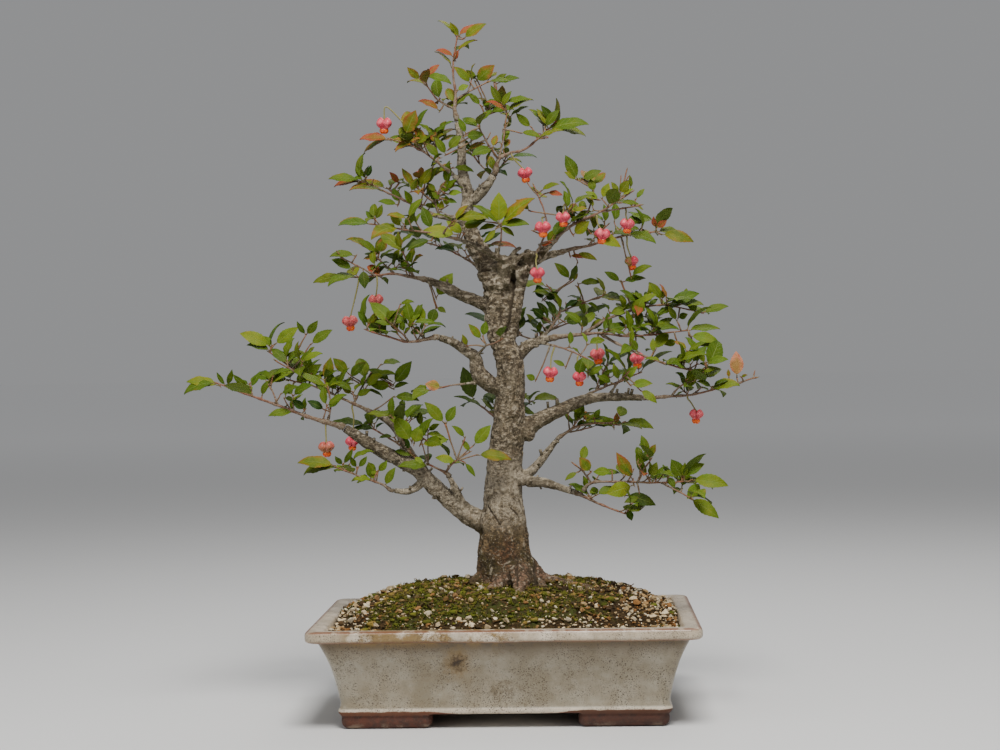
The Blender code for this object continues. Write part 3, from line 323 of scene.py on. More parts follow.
# Bare twigs that some branches have besides their packed ones: radius at the start and the centre line.
MORE_TWIGS = {"big_right": [(1.3, [(186, 12, 258), (196, 12, 262), (204, 12, 264)])],
              "high_left": [(1.5, [(-50, 7, 399), (-53, 3, 409), (-50, 0, 418), (-45, -2, 425)]),
                            (1.3, [(-53, 3, 409), (-60, 0, 414), (-64, -3, 418)])]}


class Hue(Enum):
    """How a leaf is coloured: yellowness, brightness and redness."""

    FRESH = (0.72, 0.85, 0.05)
    GREEN = (0.30, 0.52, 0.06)
    LIGHT = (0.45, 0.80, 0.05)
    DEEP = (0.10, 0.25, 0.00)
    OLIVE = (0.62, 0.45, 0.25)
    TURNING = (0.62, 0.55, 0.47)
    RED = (0.60, 0.50, 0.92)
    PINK = (0.95, 0.95, 0.85)


class Face(Enum):
    """Where the upper face of a leaf looks, in the tray's frame."""

    UP = (0.0, -0.85, 0.75)
    HALF = (0.0, -1.0, 0.45)
    VIEWER = (0.0, -1.0, 0.15)
    LEFT = (-0.6, -1.0, 0.3)
    RIGHT = (0.6, -1.0, 0.3)


FRESH, GREEN, LIGHT, DEEP, OLIVE, TURNING, RED, PINK = Hue
FACES = {face.name[0]: face for face in Face}
HUES = {hue.name[0]: hue for hue in Hue}


def read_leaves(rows: str) -> list[tuple[int, int, int, int, Face, float, Hue]]:
    """Read the leaves that stand out on one branch.

    Args:
        rows: For each leaf x and y in pixels of its stalk's foot and of its tip, the first letter of its
            face, its width over its length and the first letter of its hue.

    Returns:
        The leaves in the same order.
    """
    leaves = []
    for row in rows.split(","):
        x, y, tip_x, tip_y, face, ratio, hue = row.split()
        leaves.append((int(x), int(y), int(tip_x), int(tip_y), FACES[face], float(ratio), HUES[hue]))
    return leaves


# Leaves that stand out in the outline of each branch, by their pixels in the photograph.
SHOWN_LEAVES = {name: read_leaves(rows) for name, rows in {
    "crown": "463 39 487 24 H .42 O, 460 37 450 22 L .50 O, 454 57 435 51 U .40 R, 455 60 459 50 H .60 R, "
        "421 80 407 67 L .50 T, 427 77 440 65 H .36 R, 425 77 452 86 U .42 G, 471 84 453 67 H .40 T, "
        "457 91 469 86 H .60 L, 440 111 417 102 U .34 R",
    "crown_right": "475 82 495 65 V .62 T, 477 80 466 70 V .55 L, 482 107 498 101 U .42 G, "
        "481 106 468 94 H .45 G, 494 83 507 74 H .50 G, 496 84 520 79 U .40 G",
    "second_leader": "465 136 484 135 V .60 G, 466 134 458 118 H .40 G, 467 151 486 144 U .34 T, "
        "446 155 434 137 H .42 G, 448 150 462 136 H .60 G, 502 107 512 91 H .45 G, 503 105 491 85 L .40 G, "
        "505 103 530 100 U .40 G, 545 128 560 110 H .50 G, 548 131 590 126 U .30 G, "
        "532 128 516 113 L .45 G, 555 121 541 105 L .45 D, 520 133 541 139 U .40 G",
    "higher_left": "405 136 416 110 V .66 T, 390 140 359 141 U .30 R, 426 145 413 126 H .42 T, "
        "429 145 446 125 H .50 G, 440 158 424 143 H .40 G, 452 168 474 173 U .36 G",
    "high_left": "360 181 328 180 U .30 G, 366 178 356 166 L .50 G, 366 178 371 165 R .50 D, "
        "416 187 402 168 L .42 O, 418 187 432 167 R .50 O, 399 184 389 172 H .50 R, "
        "398 205 378 202 U .50 G, 399 203 393 188 V .60 G, 412 205 404 190 H .50 L, "
        "411 192 417 178 V .60 T, 447 194 462 193 H .50 L, 440 193 447 181 V .60 G, "
        "436 192 428 183 V .56 O, 447 206 446 195 V .80 L, 438 210 433 198 H .60 L, "
        "424 205 435 208 H .60 G, 441 212 442 200 H .60 O, 440 200 431 192 H .60 G, "
        "446 200 457 203 H .50 G, 449 190 456 180 H .50 O",
    "front_left": "370 224 339 224 U .30 T, 375 220 366 211 L .60 G, 375 220 382 204 R .50 G, "
        "402 227 390 213 L .50 O, 404 227 415 212 R .50 G, 458 235 421 232 H .42 F, "
        "464 234 446 221 V .52 F, 462 229 487 220 H .50 O, 432 240 407 252 U .40 D",
    "fork_upright": "499 225 499 192 V .62 F, 498 226 479 231 U .42 G, 500 226 530 226 U .34 G, "
        "499 227 514 237 U .36 G, 488 222 464 226 U .44 G, 497 228 483 243 R .30 L, "
        "501 227 512 217 H .40 L",
    "upper_left": "377 254 357 241 U .42 G, 379 254 385 237 V .70 T, 356 256 329 258 U .30 G, "
        "353 270 331 260 H .44 G, 345 277 313 284 U .30 O, 363 269 365 289 V .62 D, "
        "393 262 400 249 H .60 L, 406 262 412 252 H .50 G, 436 298 453 273 V .58 L, "
        "436 307 430 324 V .70 G, 437 307 446 313 H .60 G, 403 268 417 273 U .40 G",
    "mid_left": "369 324 358 311 L .50 G, 369 324 377 311 R .50 O, 393 326 374 323 U .40 G, "
        "414 321 423 304 H .45 G, 400 305 415 303 U .40 G, 408 319 398 309 H .50 T, "
        "386 319 394 311 H .50 G",
    "mid_left_inner": "482 340 468 324 H .45 T, 483 337 486 321 V .60 G, 467 346 462 334 H .40 O",
    "mid_left_low": "442 387 425 384 V .80 P",
    "low_left": "220 386 186 383 U .36 F, 226 386 217 372 L .34 G, 227 386 232 369 R .40 G, "
        "249 389 233 374 L .32 G, 250 388 260 371 R .34 G, 262 396 269 380 H .45 G, "
        "295 412 268 417 U .38 G, 305 410 292 400 H .60 D, 325 410 307 401 H .50 D, "
        "328 408 343 398 H .40 G",
    "low_left_back": "289 381 261 376 H .32 F, 293 384 322 364 V .46 L, 271 347 239 334 H .34 F, "
        "274 345 299 327 V .46 L, 271 351 246 346 U .36 G, 273 346 262 336 V .60 L, "
        "306 335 297 321 L .45 G, 306 335 318 320 R .50 G, 310 345 333 330 H .40 G, "
        "308 353 285 357 U .40 G, 308 353 315 347 H .50 G, 326 383 331 357 V .50 O, "
        "349 374 333 358 V .56 T, 350 378 367 362 H .50 G, 393 385 412 361 V .50 G, "
        "391 381 367 370 U .44 G, 392 386 370 385 V .56 L, 393 389 409 384 U .40 G, "
        "352 394 341 386 H .60 T, 356 396 372 390 H .50 G, 393 397 420 402 U .40 G, "
        "331 394 315 384 H .44 G",
    "low_left_front": "336 466 297 464 U .36 T, 343 465 335 456 L .60 G, 343 465 353 448 R .36 G, "
        "357 468 351 456 L .60 G, 358 468 367 456 R .50 G, 377 472 368 462 L .60 G, "
        "378 472 387 460 R .60 L, 385 486 396 467 H .45 G",
    "low_left_mid": "412 442 394 416 V .62 L, 414 444 421 425 V .72 L, 420 445 449 440 H .40 L, "
        "415 456 394 452 U .44 G, 414 457 424 465 H .50 L, 410 450 402 436 H .50 D, "
        "418 440 431 418 H .44 G",
    "knee": "446 424 456 406 H .60 G, 445 424 424 402 H .26 G, 473 446 491 425 V .52 L, "
        "476 455 512 461 U .40 O, 465 438 451 426 U .36 G, 456 462 435 458 H .50 F, "
        "464 462 475 477 R .40 G, 420 437 429 419 H .40 G, 428 431 440 424 H .50 G, "
        "470 452 462 440 H .40 O",
    "low_right": "648 456 641 435 H .34 G, 649 457 656 444 H .60 O, 648 479 636 451 L .36 G, "
        "650 478 657 462 V .60 G, 682 478 671 459 V .70 G, 683 476 705 464 H .50 G, "
        "684 478 685 462 V .50 L, 691 480 729 487 H .36 L, 701 482 687 499 V .62 L, "
        "689 498 719 519 H .38 L, 633 480 616 452 V .44 T, 634 485 606 494 V .62 F, "
        "591 472 579 457 V .66 T, 578 472 565 481 U .36 G, 612 471 593 472 V .56 L, "
        "625 495 656 506 H .46 D, 628 510 632 521 V .70 D, 668 476 675 488 V .60 G, "
        "656 480 664 466 H .50 G, 640 497 624 503 H .50 G",
    "low_right_back": "614 428 601 416 H .50 G, 624 422 654 430 U .36 G, 616 424 617 412 V .50 R, "
        "594 419 600 409 V .60 G",
    "big_right": "737 378 736 351 V .60 P, 729 378 728 369 V .50 T, 741 377 748 375 H .40 T, "
        "702 373 716 370 U .40 G",
    "big_right_mid": "630 385 653 384 H .52 L, 640 390 657 404 H .44 L, 619 381 613 363 V .44 L, "
        "620 381 638 366 V .46 L, 612 383 596 376 H .50 G",
    "mid_right": "621 282 604 272 H .42 G, 622 282 646 279 U .38 G, 662 301 648 282 H .40 G, "
        "662 300 664 288 V .60 T, 668 304 700 294 H .40 G, 696 313 688 297 V .60 G, "
        "702 313 729 307 U .36 G, 634 316 643 297 V .74 L, 648 306 658 299 H .50 G, "
        "627 312 610 314 H .50 L, 677 321 668 306 V .44 G, 678 318 688 314 V .80 G, "
        "689 336 719 343 H .46 L, 694 346 723 346 U .22 G, 705 364 698 349 V .44 L, "
        "706 363 729 360 H .36 L, 638 352 629 338 V .60 G, 653 353 653 338 V .50 L, "
        "677 341 664 345 V .60 L, 681 359 665 365 H .50 G, 604 318 590 330 V .50 L",
    "mid_right_back": "543 300 537 284 V .70 D, 545 300 558 292 V .60 D, 566 304 583 306 H .50 D, "
        "564 322 584 318 V .60 D, 545 318 532 308 V .60 D, 556 316 549 301 V .50 D, "
        "578 284 602 284 U .34 G, 571 280 554 263 H .42 G, 573 281 578 273 V .50 T",
    "mid_right_front": "578 376 583 357 V .72 G, 536 380 526 375 V .70 G, 588 376 604 366 H .44 G, "
        "566 367 553 361 H .44 G",
    "right_front": "578 180 565 155 V .50 G, 581 180 602 171 H .50 G, 577 180 564 172 H .50 O, "
        "594 192 590 179 V .70 G, 599 200 585 192 H .50 L, 602 199 609 183 V .62 F, "
        "620 194 629 180 V .70 O, 619 194 611 182 H .50 O, 622 196 634 189 U .46 F, "
        "620 203 638 205 U .36 G, 530 211 515 200 H .34 T, 573 235 590 221 V .62 O, "
        "590 233 621 248 H .40 F, 547 243 556 229 V .60 L, 572 212 588 209 U .40 T",
    "right_back": "656 228 654 216 L .60 R, 656 228 667 220 R .60 R, 660 234 694 243 H .32 O, "
        "575 254 597 261 U .34 O, 570 256 583 259 U .36 R, 631 277 653 267 U .24 G",
    "claw": "541 191 560 185 U .34 T, 547 193 563 196 H .44 R, 533 231 545 226 H .50 R, "
        "540 246 552 243 H .50 R",
}.items()}

# How thickly each leafy branch is filled with short side shoots, over the usual.
FILL = {"crown": 0.5, "crown_right": 0.5, "claw": 0.4, "mid_left_inner": 0.3, "mid_left_low": 0.2,
        "fork_upright": 0.5, "big_right": 0.6, "low_left_front": 0.6, "knee": 0.4, "mid_right": 1.25,
        "low_left_back": 1.1, "mid_right_back": 1.4, "high_left": 1.2, "mid_left": 1.2}


def spot(point: Sequence[float]) -> Vector:
    """Turn a point of the tray's frame, in mm, into metres in the part's frame."""
    return (Vector(point[:3]) + PLANT_SHIFT) * MM


def blend(low: float, high: float, share: float) -> float:
    """Return the value a share of the way from low to high."""
    return low + (high - low) * share


def held(value: float) -> float:
    """Return the value, held between 0 and 1."""
    return min(1.0, max(0.0, value))


def ramp(value: float, low: float, high: float) -> float:
    """Rise smoothly from 0 at low to 1 at high."""
    share = held((value - low) / (high - low))
    return share * share * (3.0 - 2.0 * share)


def squared(way: Vector, line: Vector) -> Vector:
    """Return a direction turned square to a line."""
    return (way - line * way.dot(line)).normalized()


def length_of(line: Sequence[Vector]) -> float:
    """Return the length of a line of points."""
    return sum((after - before).length for before, after in zip(line, line[1:]))


def sides_of(direction: Vector) -> tuple[Vector, Vector]:
    """Return two directions square to a twig: level across it, and above it."""
    across = direction.cross(UP)
    across = across.normalized() if across.length > 0.2 else Vector((1.0, 0.0, 0.0))
    return across, across.cross(direction)


def tumble(spin: float, tilt: float, axis: str) -> np.ndarray:
    """Return a turn about an axis that lies level, then about the upright one, for rows of points."""
    return np.array(Matrix.Rotation(spin, 3, "Z") @ Matrix.Rotation(tilt, 3, axis)).T


def lean_to(direction: Vector) -> np.ndarray:
    """Return the turn from upright to a direction, for rows of points."""
    return np.array(UP.rotation_difference(direction).to_matrix()).T


def tree_of(points: Sequence[Vector]) -> KDTree:
    """Put points into a tree that finds the nearest ones.

    Args:
        points: The points.

    Returns:
        The tree; a find returns the point, its number and its distance.
    """
    tree = KDTree(len(points))
    for number, point in enumerate(points):
        tree.insert(point, number)
    tree.balance()
    return tree


def shades_of(*parts: float | np.ndarray) -> np.ndarray:
    """Put four parts, each one number or one for each point, side by side as colour values."""
    return np.stack(np.broadcast_arrays(*parts), 1)


def slimmed(radius: float, share: float = 0.0) -> float:
    """Return the finer radius of thin wood whose packed radius is given, finer along a twig's length."""
    return radius * blend(0.80 + 0.20 * ramp(radius, 1.2, 3.2), 0.62, ramp(share, 0.0, 0.35))


def along(points: Sequence[Sequence[float]], share: float) -> tuple[Vector, Vector]:
    """Find a place on a centre line.

    Args:
        points: The line's points, mm.
        share: Share of the line's length.

    Returns:
        The place and the line's direction there.
    """
    line = [Vector(point[:3]) for point in points]
    lengths = [(after - before).length for before, after in zip(line, line[1:])]
    left = share * sum(lengths)
    number = 0
    while left > lengths[number] and number < len(lengths) - 1:
        left -= lengths[number]
        number += 1
    before, after = line[number:number + 2]
    return before.lerp(after, left / lengths[number]), (after - before).normalized()


def smooth_line(points: Sequence[Sequence[float]], step: float) -> list[Vector]:
    """Run a smooth curve through points that may carry a radius as their last value.

    Args:
        points: Points of three or four values, mm.
        step: Wanted distance between the new points, mm.

    Returns:
        Points of as many values, close together.
    """
    knots = [Vector(point) for point in points]
    knots = [knots[0] * 2 - knots[1]] + knots + [knots[-1] * 2 - knots[-2]]
    line = []
    for before, start, end, after in zip(knots, knots[1:], knots[2:], knots[3:]):
        pieces = max(1, round((end - start).length / step))
        for number in range(pieces):
            t = number / pieces
            line.append(((start * 2) + (end - before) * t
                         + (before * 2 - start * 5 + end * 4 - after) * t * t
                         + (start * 3 - before - end * 3 + after) * t ** 3) * 0.5)
    line.append(knots[-2])
    return line


def deselect() -> None:
    """Leave nothing selected, because operators act on all that is."""
    bpy.ops.object.select_all(action="DESELECT")


def pick(*pieces: Piece) -> None:
    """Select some pieces and make the first one active."""
    deselect()
    for piece in pieces:
        piece.select_set(True)
    bpy.context.view_layer.objects.active = pieces[0]


def put(name: str, data: bpy.types.ID) -> Piece:
    """Put an object of some data into the scene."""
    item = bpy.data.objects.new(name, data)
    bpy.context.scene.collection.objects.link(item)
    return item


def store_tint(mesh: bpy.types.Mesh, shades: np.ndarray | list[float]) -> None:
    """Store colour values of four numbers for each point of a mesh."""
    tint = mesh.attributes.new("tint", "FLOAT_COLOR", "POINT")
    tint.data.foreach_set("color", np.array(shades, np.float32).ravel())


def settle(piece: Piece, *materials: Material, slot: str, stands_for: Iterable[str] = ()) -> Piece:
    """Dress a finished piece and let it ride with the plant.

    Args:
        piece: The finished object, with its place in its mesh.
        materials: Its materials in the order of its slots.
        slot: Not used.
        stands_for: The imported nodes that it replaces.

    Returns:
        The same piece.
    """
    for material in materials:
        piece.data.materials.append(material)
    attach(piece, BODY)
    if stands_for:
        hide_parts(*stands_for)
    LOG.info("%s: %d faces", piece.name, len(piece.data.polygons))
    return piece


def apply_modifier(piece: Piece, kind: str, **settings: object) -> None:
    """Add a modifier to a piece, set it up and apply it.

    Args:
        piece: The object to change.
        kind: The modifier's type.
        settings: Values to set on the modifier.
    """
    modifier = piece.modifiers.new(kind.lower(), kind)
    for name, value in settings.items():
        setattr(modifier, name, value)
    pick(piece)
    bpy.ops.object.modifier_apply(modifier=modifier.name)


def combine(piece: Piece, tool: Piece, operation: str) -> None:
    """Join a tool to a piece or cut it out of it, and remove the tool."""
    apply_modifier(piece, "BOOLEAN", operation=operation, object=tool)
    bpy.data.objects.remove(tool)


def take_template(piece: Piece) -> Shape:
    """Read the points and faces of a modelled shape and remove its object.

    Args:
        piece: The modelled object.

    Returns:
        Its points and faces.
    """
    mesh = piece.data
    points = np.array([piece.matrix_world @ vertex.co for vertex in mesh.vertices], float)
    faces = [tuple(face.vertices) for face in mesh.polygons]
    bpy.data.objects.remove(piece)
    bpy.data.meshes.remove(mesh)
    return points, faces


@dataclass
class Heap:
    """Copies of modelled shapes that are gathered into one mesh, in mm of the tray's frame."""

    points: list[np.ndarray] = field(default_factory=list)
    faces: list[tuple[int, ...]] = field(default_factory=list)
    tints: list[np.ndarray] = field(default_factory=list)
    charts: list[np.ndarray] = field(default_factory=list)
    kinds: list[int] = field(default_factory=list)
    count: int = 0

    def add(self, points: np.ndarray, faces: list[tuple[int, ...]], tint: Sequence[float] | np.ndarray,
            kind: int = 0, chart: np.ndarray | None = None) -> None:
        """Add one copy.

        Args:
            points: Its points.
            faces: Its faces, counted from its own first point.
            tint: One colour value of four numbers for it, or one for each point.
            kind: Which of the piece's materials it has.
            chart: Its surface coordinates, if it has any.
        """
        start = self.count
        self.points.append(points)
        self.faces += [tuple(index + start for index in face) for face in faces]
        self.tints.append(np.broadcast_to(np.asarray(tint, float), (len(points), 4)))
        self.charts.append(np.zeros((len(points), 2)) if chart is None else chart)
        self.kinds += [kind] * len(faces)
        self.count += len(points)

    def pour(self, name: str, smooth: bool = True) -> Piece:
        """Make the piece of everything that was added.

        Args:
            name: The piece's name.
            smooth: Whether its faces are shaded smooth.

        Returns:
            The new object, in metres in the part's frame.
        """
        points = (np.concatenate(self.points) + np.array(PLANT_SHIFT)) * MM
        mesh = bpy.data.meshes.new(name)
        mesh.from_pydata(points, [], self.faces)
        store_tint(mesh, np.concatenate(self.tints))
        corners = np.zeros(len(mesh.loops), np.int32)
        mesh.loops.foreach_get("vertex_index", corners)
        chart = mesh.uv_layers.new(name="chart")
        chart.data.foreach_set("uv", np.concatenate(self.charts)[corners].astype(np.float32).ravel())
        mesh.polygons.foreach_set("material_index", np.array(self.kinds, np.int32))
        mesh.polygons.foreach_set("use_smooth", np.full(len(mesh.polygons), smooth))
        mesh.update()
        return put(name, mesh)


def stem(points: Sequence[Vector], radii: Sequence[float], sides: int) -> Shape:
    """Sweep a round section along a line, with closed ends.

    Args:
        points: The line's points, mm.
        radii: The radius at each.
        sides: Number of sides.

    Returns:
        The points and faces of the swept shape.
    """
    side = None
    rings = []
    for number, point in enumerate(points):
        before = points[max(0, number - 1)]
        after = points[min(len(points) - 1, number + 1)]
        direction = (after - before).normalized()
        if side is None:
            side = direction.orthogonal().normalized()
        side = squared(side, direction)
        across = direction.cross(side)
        for corner in range(sides):
            angle = 2 * math.pi * corner / sides
            offset = side * math.cos(angle) + across * math.sin(angle)
            rings.append(point + offset * radii[number])
    faces = []
    for level in range(len(points) - 1):
        for corner in range(sides):
            low = level * sides + corner
            after = level * sides + (corner + 1) % sides
            faces.append((low, after, after + sides, low + sides))
    faces.append(tuple(range(sides - 1, -1, -1)))
    faces.append(tuple(range(len(rings) - sides, len(rings))))
    return np.array([tuple(point) for point in rings]), faces


class Recipe:
    """Short ways to build the nodes of one material, whose colour is laid on step by step."""

    def __init__(self, name: str) -> None:
        """Start a material with one Principled shader.

        Args:
            name: The material's name.
        """
        self.material = bpy.data.materials.new(name)
        self.material.use_nodes = True
        self.nodes = self.material.node_tree.nodes
        self.shader = self.nodes["Principled BSDF"]
        self.place = self.node("ShaderNodeTexCoord").outputs["Object"]
        self.colour: object = None

    def node(self, kind: str, **settings: object) -> bpy.types.Node:
        """Add a node and set its properties.

        Args:
            kind: The node's type.
            settings: Its properties.

        Returns:
            The new node.
        """
        made = self.nodes.new(kind)
        for name, value in settings.items():
            setattr(made, name, value)
        return made

    def link(self, value: object, socket: Socket) -> None:
        """Feed a socket from another socket, or set it to a number or colour.

        Args:
            value: The socket, number or colour.
            socket: The input to feed.
        """
        if isinstance(value, Socket):
            self.material.node_tree.links.new(value, socket)
        elif isinstance(value, (tuple, list)) and socket.type == "RGBA":
            socket.default_value = (*value[:3], 1.0)
        else:
            socket.default_value = value

    def wire(self, kind: str, output: int | str, inputs: dict[int | str, object],
             **settings: object) -> Socket:
        """Add a node and feed its inputs.

        Args:
            kind: The node's type.
            output: Which output is wanted.
            inputs: What each input gets; an input with None stays as it is.
            settings: Properties to set first.

        Returns:
            The wanted output.
        """
        made = self.node(kind, **settings)
        for name, value in inputs.items():
            if value is not None:
                self.link(value, made.inputs[name])
        return made.outputs[output]

    def stretched(self, scale: Sequence[float]) -> Socket:
        """Return the piece's own coordinates, stretched along its axes."""
        return self.wire("ShaderNodeMapping", "Vector", {"Vector": self.place, "Scale": scale})

    def noise(self, scale: float, detail: float = 4.0, rough: float = 0.6, at: Socket | None = None,
              bend: float = 0.0) -> Socket:
        """Return a cloudy value between 0 and 1.

        Args:
            scale: Repeats in a metre.
            detail: Number of finer layers.
            rough: How strong the finer layers are.
            at: The coordinates to read, or the piece's own.
            bend: How far the pattern is distorted.

        Returns:
            The noise node's value.
        """
        return self.wire("ShaderNodeTexNoise", "Fac",
                         {"Vector": at or self.place, "Scale": scale, "Detail": detail, "Roughness": rough,
                          "Distortion": bend})

    def cells(self, scale: float, at: Socket | None = None, feature: str = "F1") -> Socket:
        """Return the distance value of a cell pattern."""
        return self.wire("ShaderNodeTexVoronoi", "Distance", {"Vector": at or self.place, "Scale": scale},
                         feature=feature)

    def math(self, kind: str, first: object, second: object = 0.0, clamp: bool = False) -> Socket:
        """Combine two values."""
        return self.wire("ShaderNodeMath", 0, {0: first, 1: second}, operation=kind, use_clamp=clamp)

    def times(self, *values: object) -> Socket:
        """Multiply values."""
        return reduce(lambda first, second: self.math("MULTIPLY", first, second), values)

    def plus(self, first: object, second: object, clamp: bool = False) -> Socket:
        """Add two values."""
        return self.math("ADD", first, second, clamp)

    def minus(self, first: object, second: object, clamp: bool = False) -> Socket:
        """Subtract the second value."""
        return self.math("SUBTRACT", first, second, clamp)

    def most(self, first: object, second: object) -> Socket:
        """Return the larger value."""
        return self.math("MAXIMUM", first, second)

    def least(self, *values: object) -> Socket:
        """Return the smallest value."""
        return reduce(lambda first, second: self.math("MINIMUM", first, second), values)

    def vector(self, kind: str, first: object, second: object = None, output: str = "Vector") -> Socket:
        """Combine two vectors, or a vector and a scale."""
        return self.wire("ShaderNodeVectorMath", output,
                         {0: first, "Scale" if kind == "SCALE" else 1: second}, operation=kind)

    def fade(self, value: Socket, low: float, high: float, start: float = 0.0, end: float = 1.0) -> Socket:
        """Map a value from low..high to start..end, smooth and held at both ends."""
        return self.wire("ShaderNodeMapRange", "Result",
                         {"Value": value, "From Min": low, "From Max": high, "To Min": start, "To Max": end},
                         interpolation_type="SMOOTHSTEP")

    def mix(self, share: object, first: object, second: object, kind: str = "MIX") -> Socket:
        """Mix two colours."""
        return self.wire("ShaderNodeMix", 2, {0: share, 6: first, 7: second}, data_type="RGBA",
                         blend_type=kind)

    def lay(self, share: object, colour: object, kind: str = "MIX") -> None:
        """Lay a share of a colour over the material's colour."""
        self.colour = self.mix(share, self.colour, colour, kind)

    def part(self, value: Socket, name: str) -> Socket:
        """Return the X, Y or Z of a vector."""
        return self.wire("ShaderNodeSeparateXYZ", name, {0: value})

    def height(self) -> Socket:
        """Return the height over the ground, in metres."""
        return self.part(self.place, "Z")

    def across(self) -> Socket:
        """Return the place from left to right, in metres."""
        return self.part(self.place, "X")

    def facing_up(self) -> Socket:
        """Return how far the surface looks up, from -1 to 1."""
        return self.part(self.node("ShaderNodeNewGeometry").outputs["Normal"], "Z")

    def off_stroke(self, start: Sequence[float], end: Sequence[float]) -> Socket:
        """Return the distance from a stroke on the front of the tree, in metres.

        Args:
            start: Its start, mm to the right of the trunk's foot and mm over the ground.
            end: Its end.

        Returns:
            The distance, measured in the plane of the picture.
        """
        foot = Vector((start[0] + PLANT_SHIFT.x, 0.0, start[1])) * MM
        run = Vector((end[0] - start[0], 0.0, end[1] - start[1])) * MM
        off = self.vector("SUBTRACT", self.vector("MULTIPLY", self.place, (1.0, 0.0, 1.0)), foot)
        share = self.vector("DOT_PRODUCT", off, run / run.length_squared, "Value")
        near = self.vector("SCALE", run, self.plus(share, 0.0, True))
        return self.vector("DISTANCE", off, near, "Value")

    def tint(self) -> tuple[Socket, ...]:
        """Return the three parts and the alpha of the piece's tint attribute.

        Returns:
            Four sockets.
        """
        read = self.node("ShaderNodeAttribute", attribute_name="tint")
        split = self.node("ShaderNodeSeparateColor")
        self.link(read.outputs["Color"], split.inputs[0])
        return (*split.outputs[:3], read.outputs["Alpha"])

    def bump(self, value: Socket, strength: float, depth: float, under: Socket | None = None) -> Socket:
        """Return a normal that a height pattern bends, over another one if given."""
        return self.wire("ShaderNodeBump", "Normal",
                         {"Height": value, "Strength": strength, "Distance": depth, "Normal": under})

    def finish(self, roughness: object, normal: Socket | None = None, **constants: float) -> Material:
        """Set the shader's sockets.

        Args:
            roughness: Roughness.
            normal: Bent normal, if any.
            constants: Further sockets by name, with _ for a space.

        Returns:
            The finished material.
        """
        for name, value in (("Base Color", self.colour), ("Roughness", roughness), ("Normal", normal)):
            if value is not None:
                self.link(value, self.shader.inputs[name])
        for name, value in constants.items():
            self.shader.inputs[name.replace("_", " ")].default_value = value
        return self.material


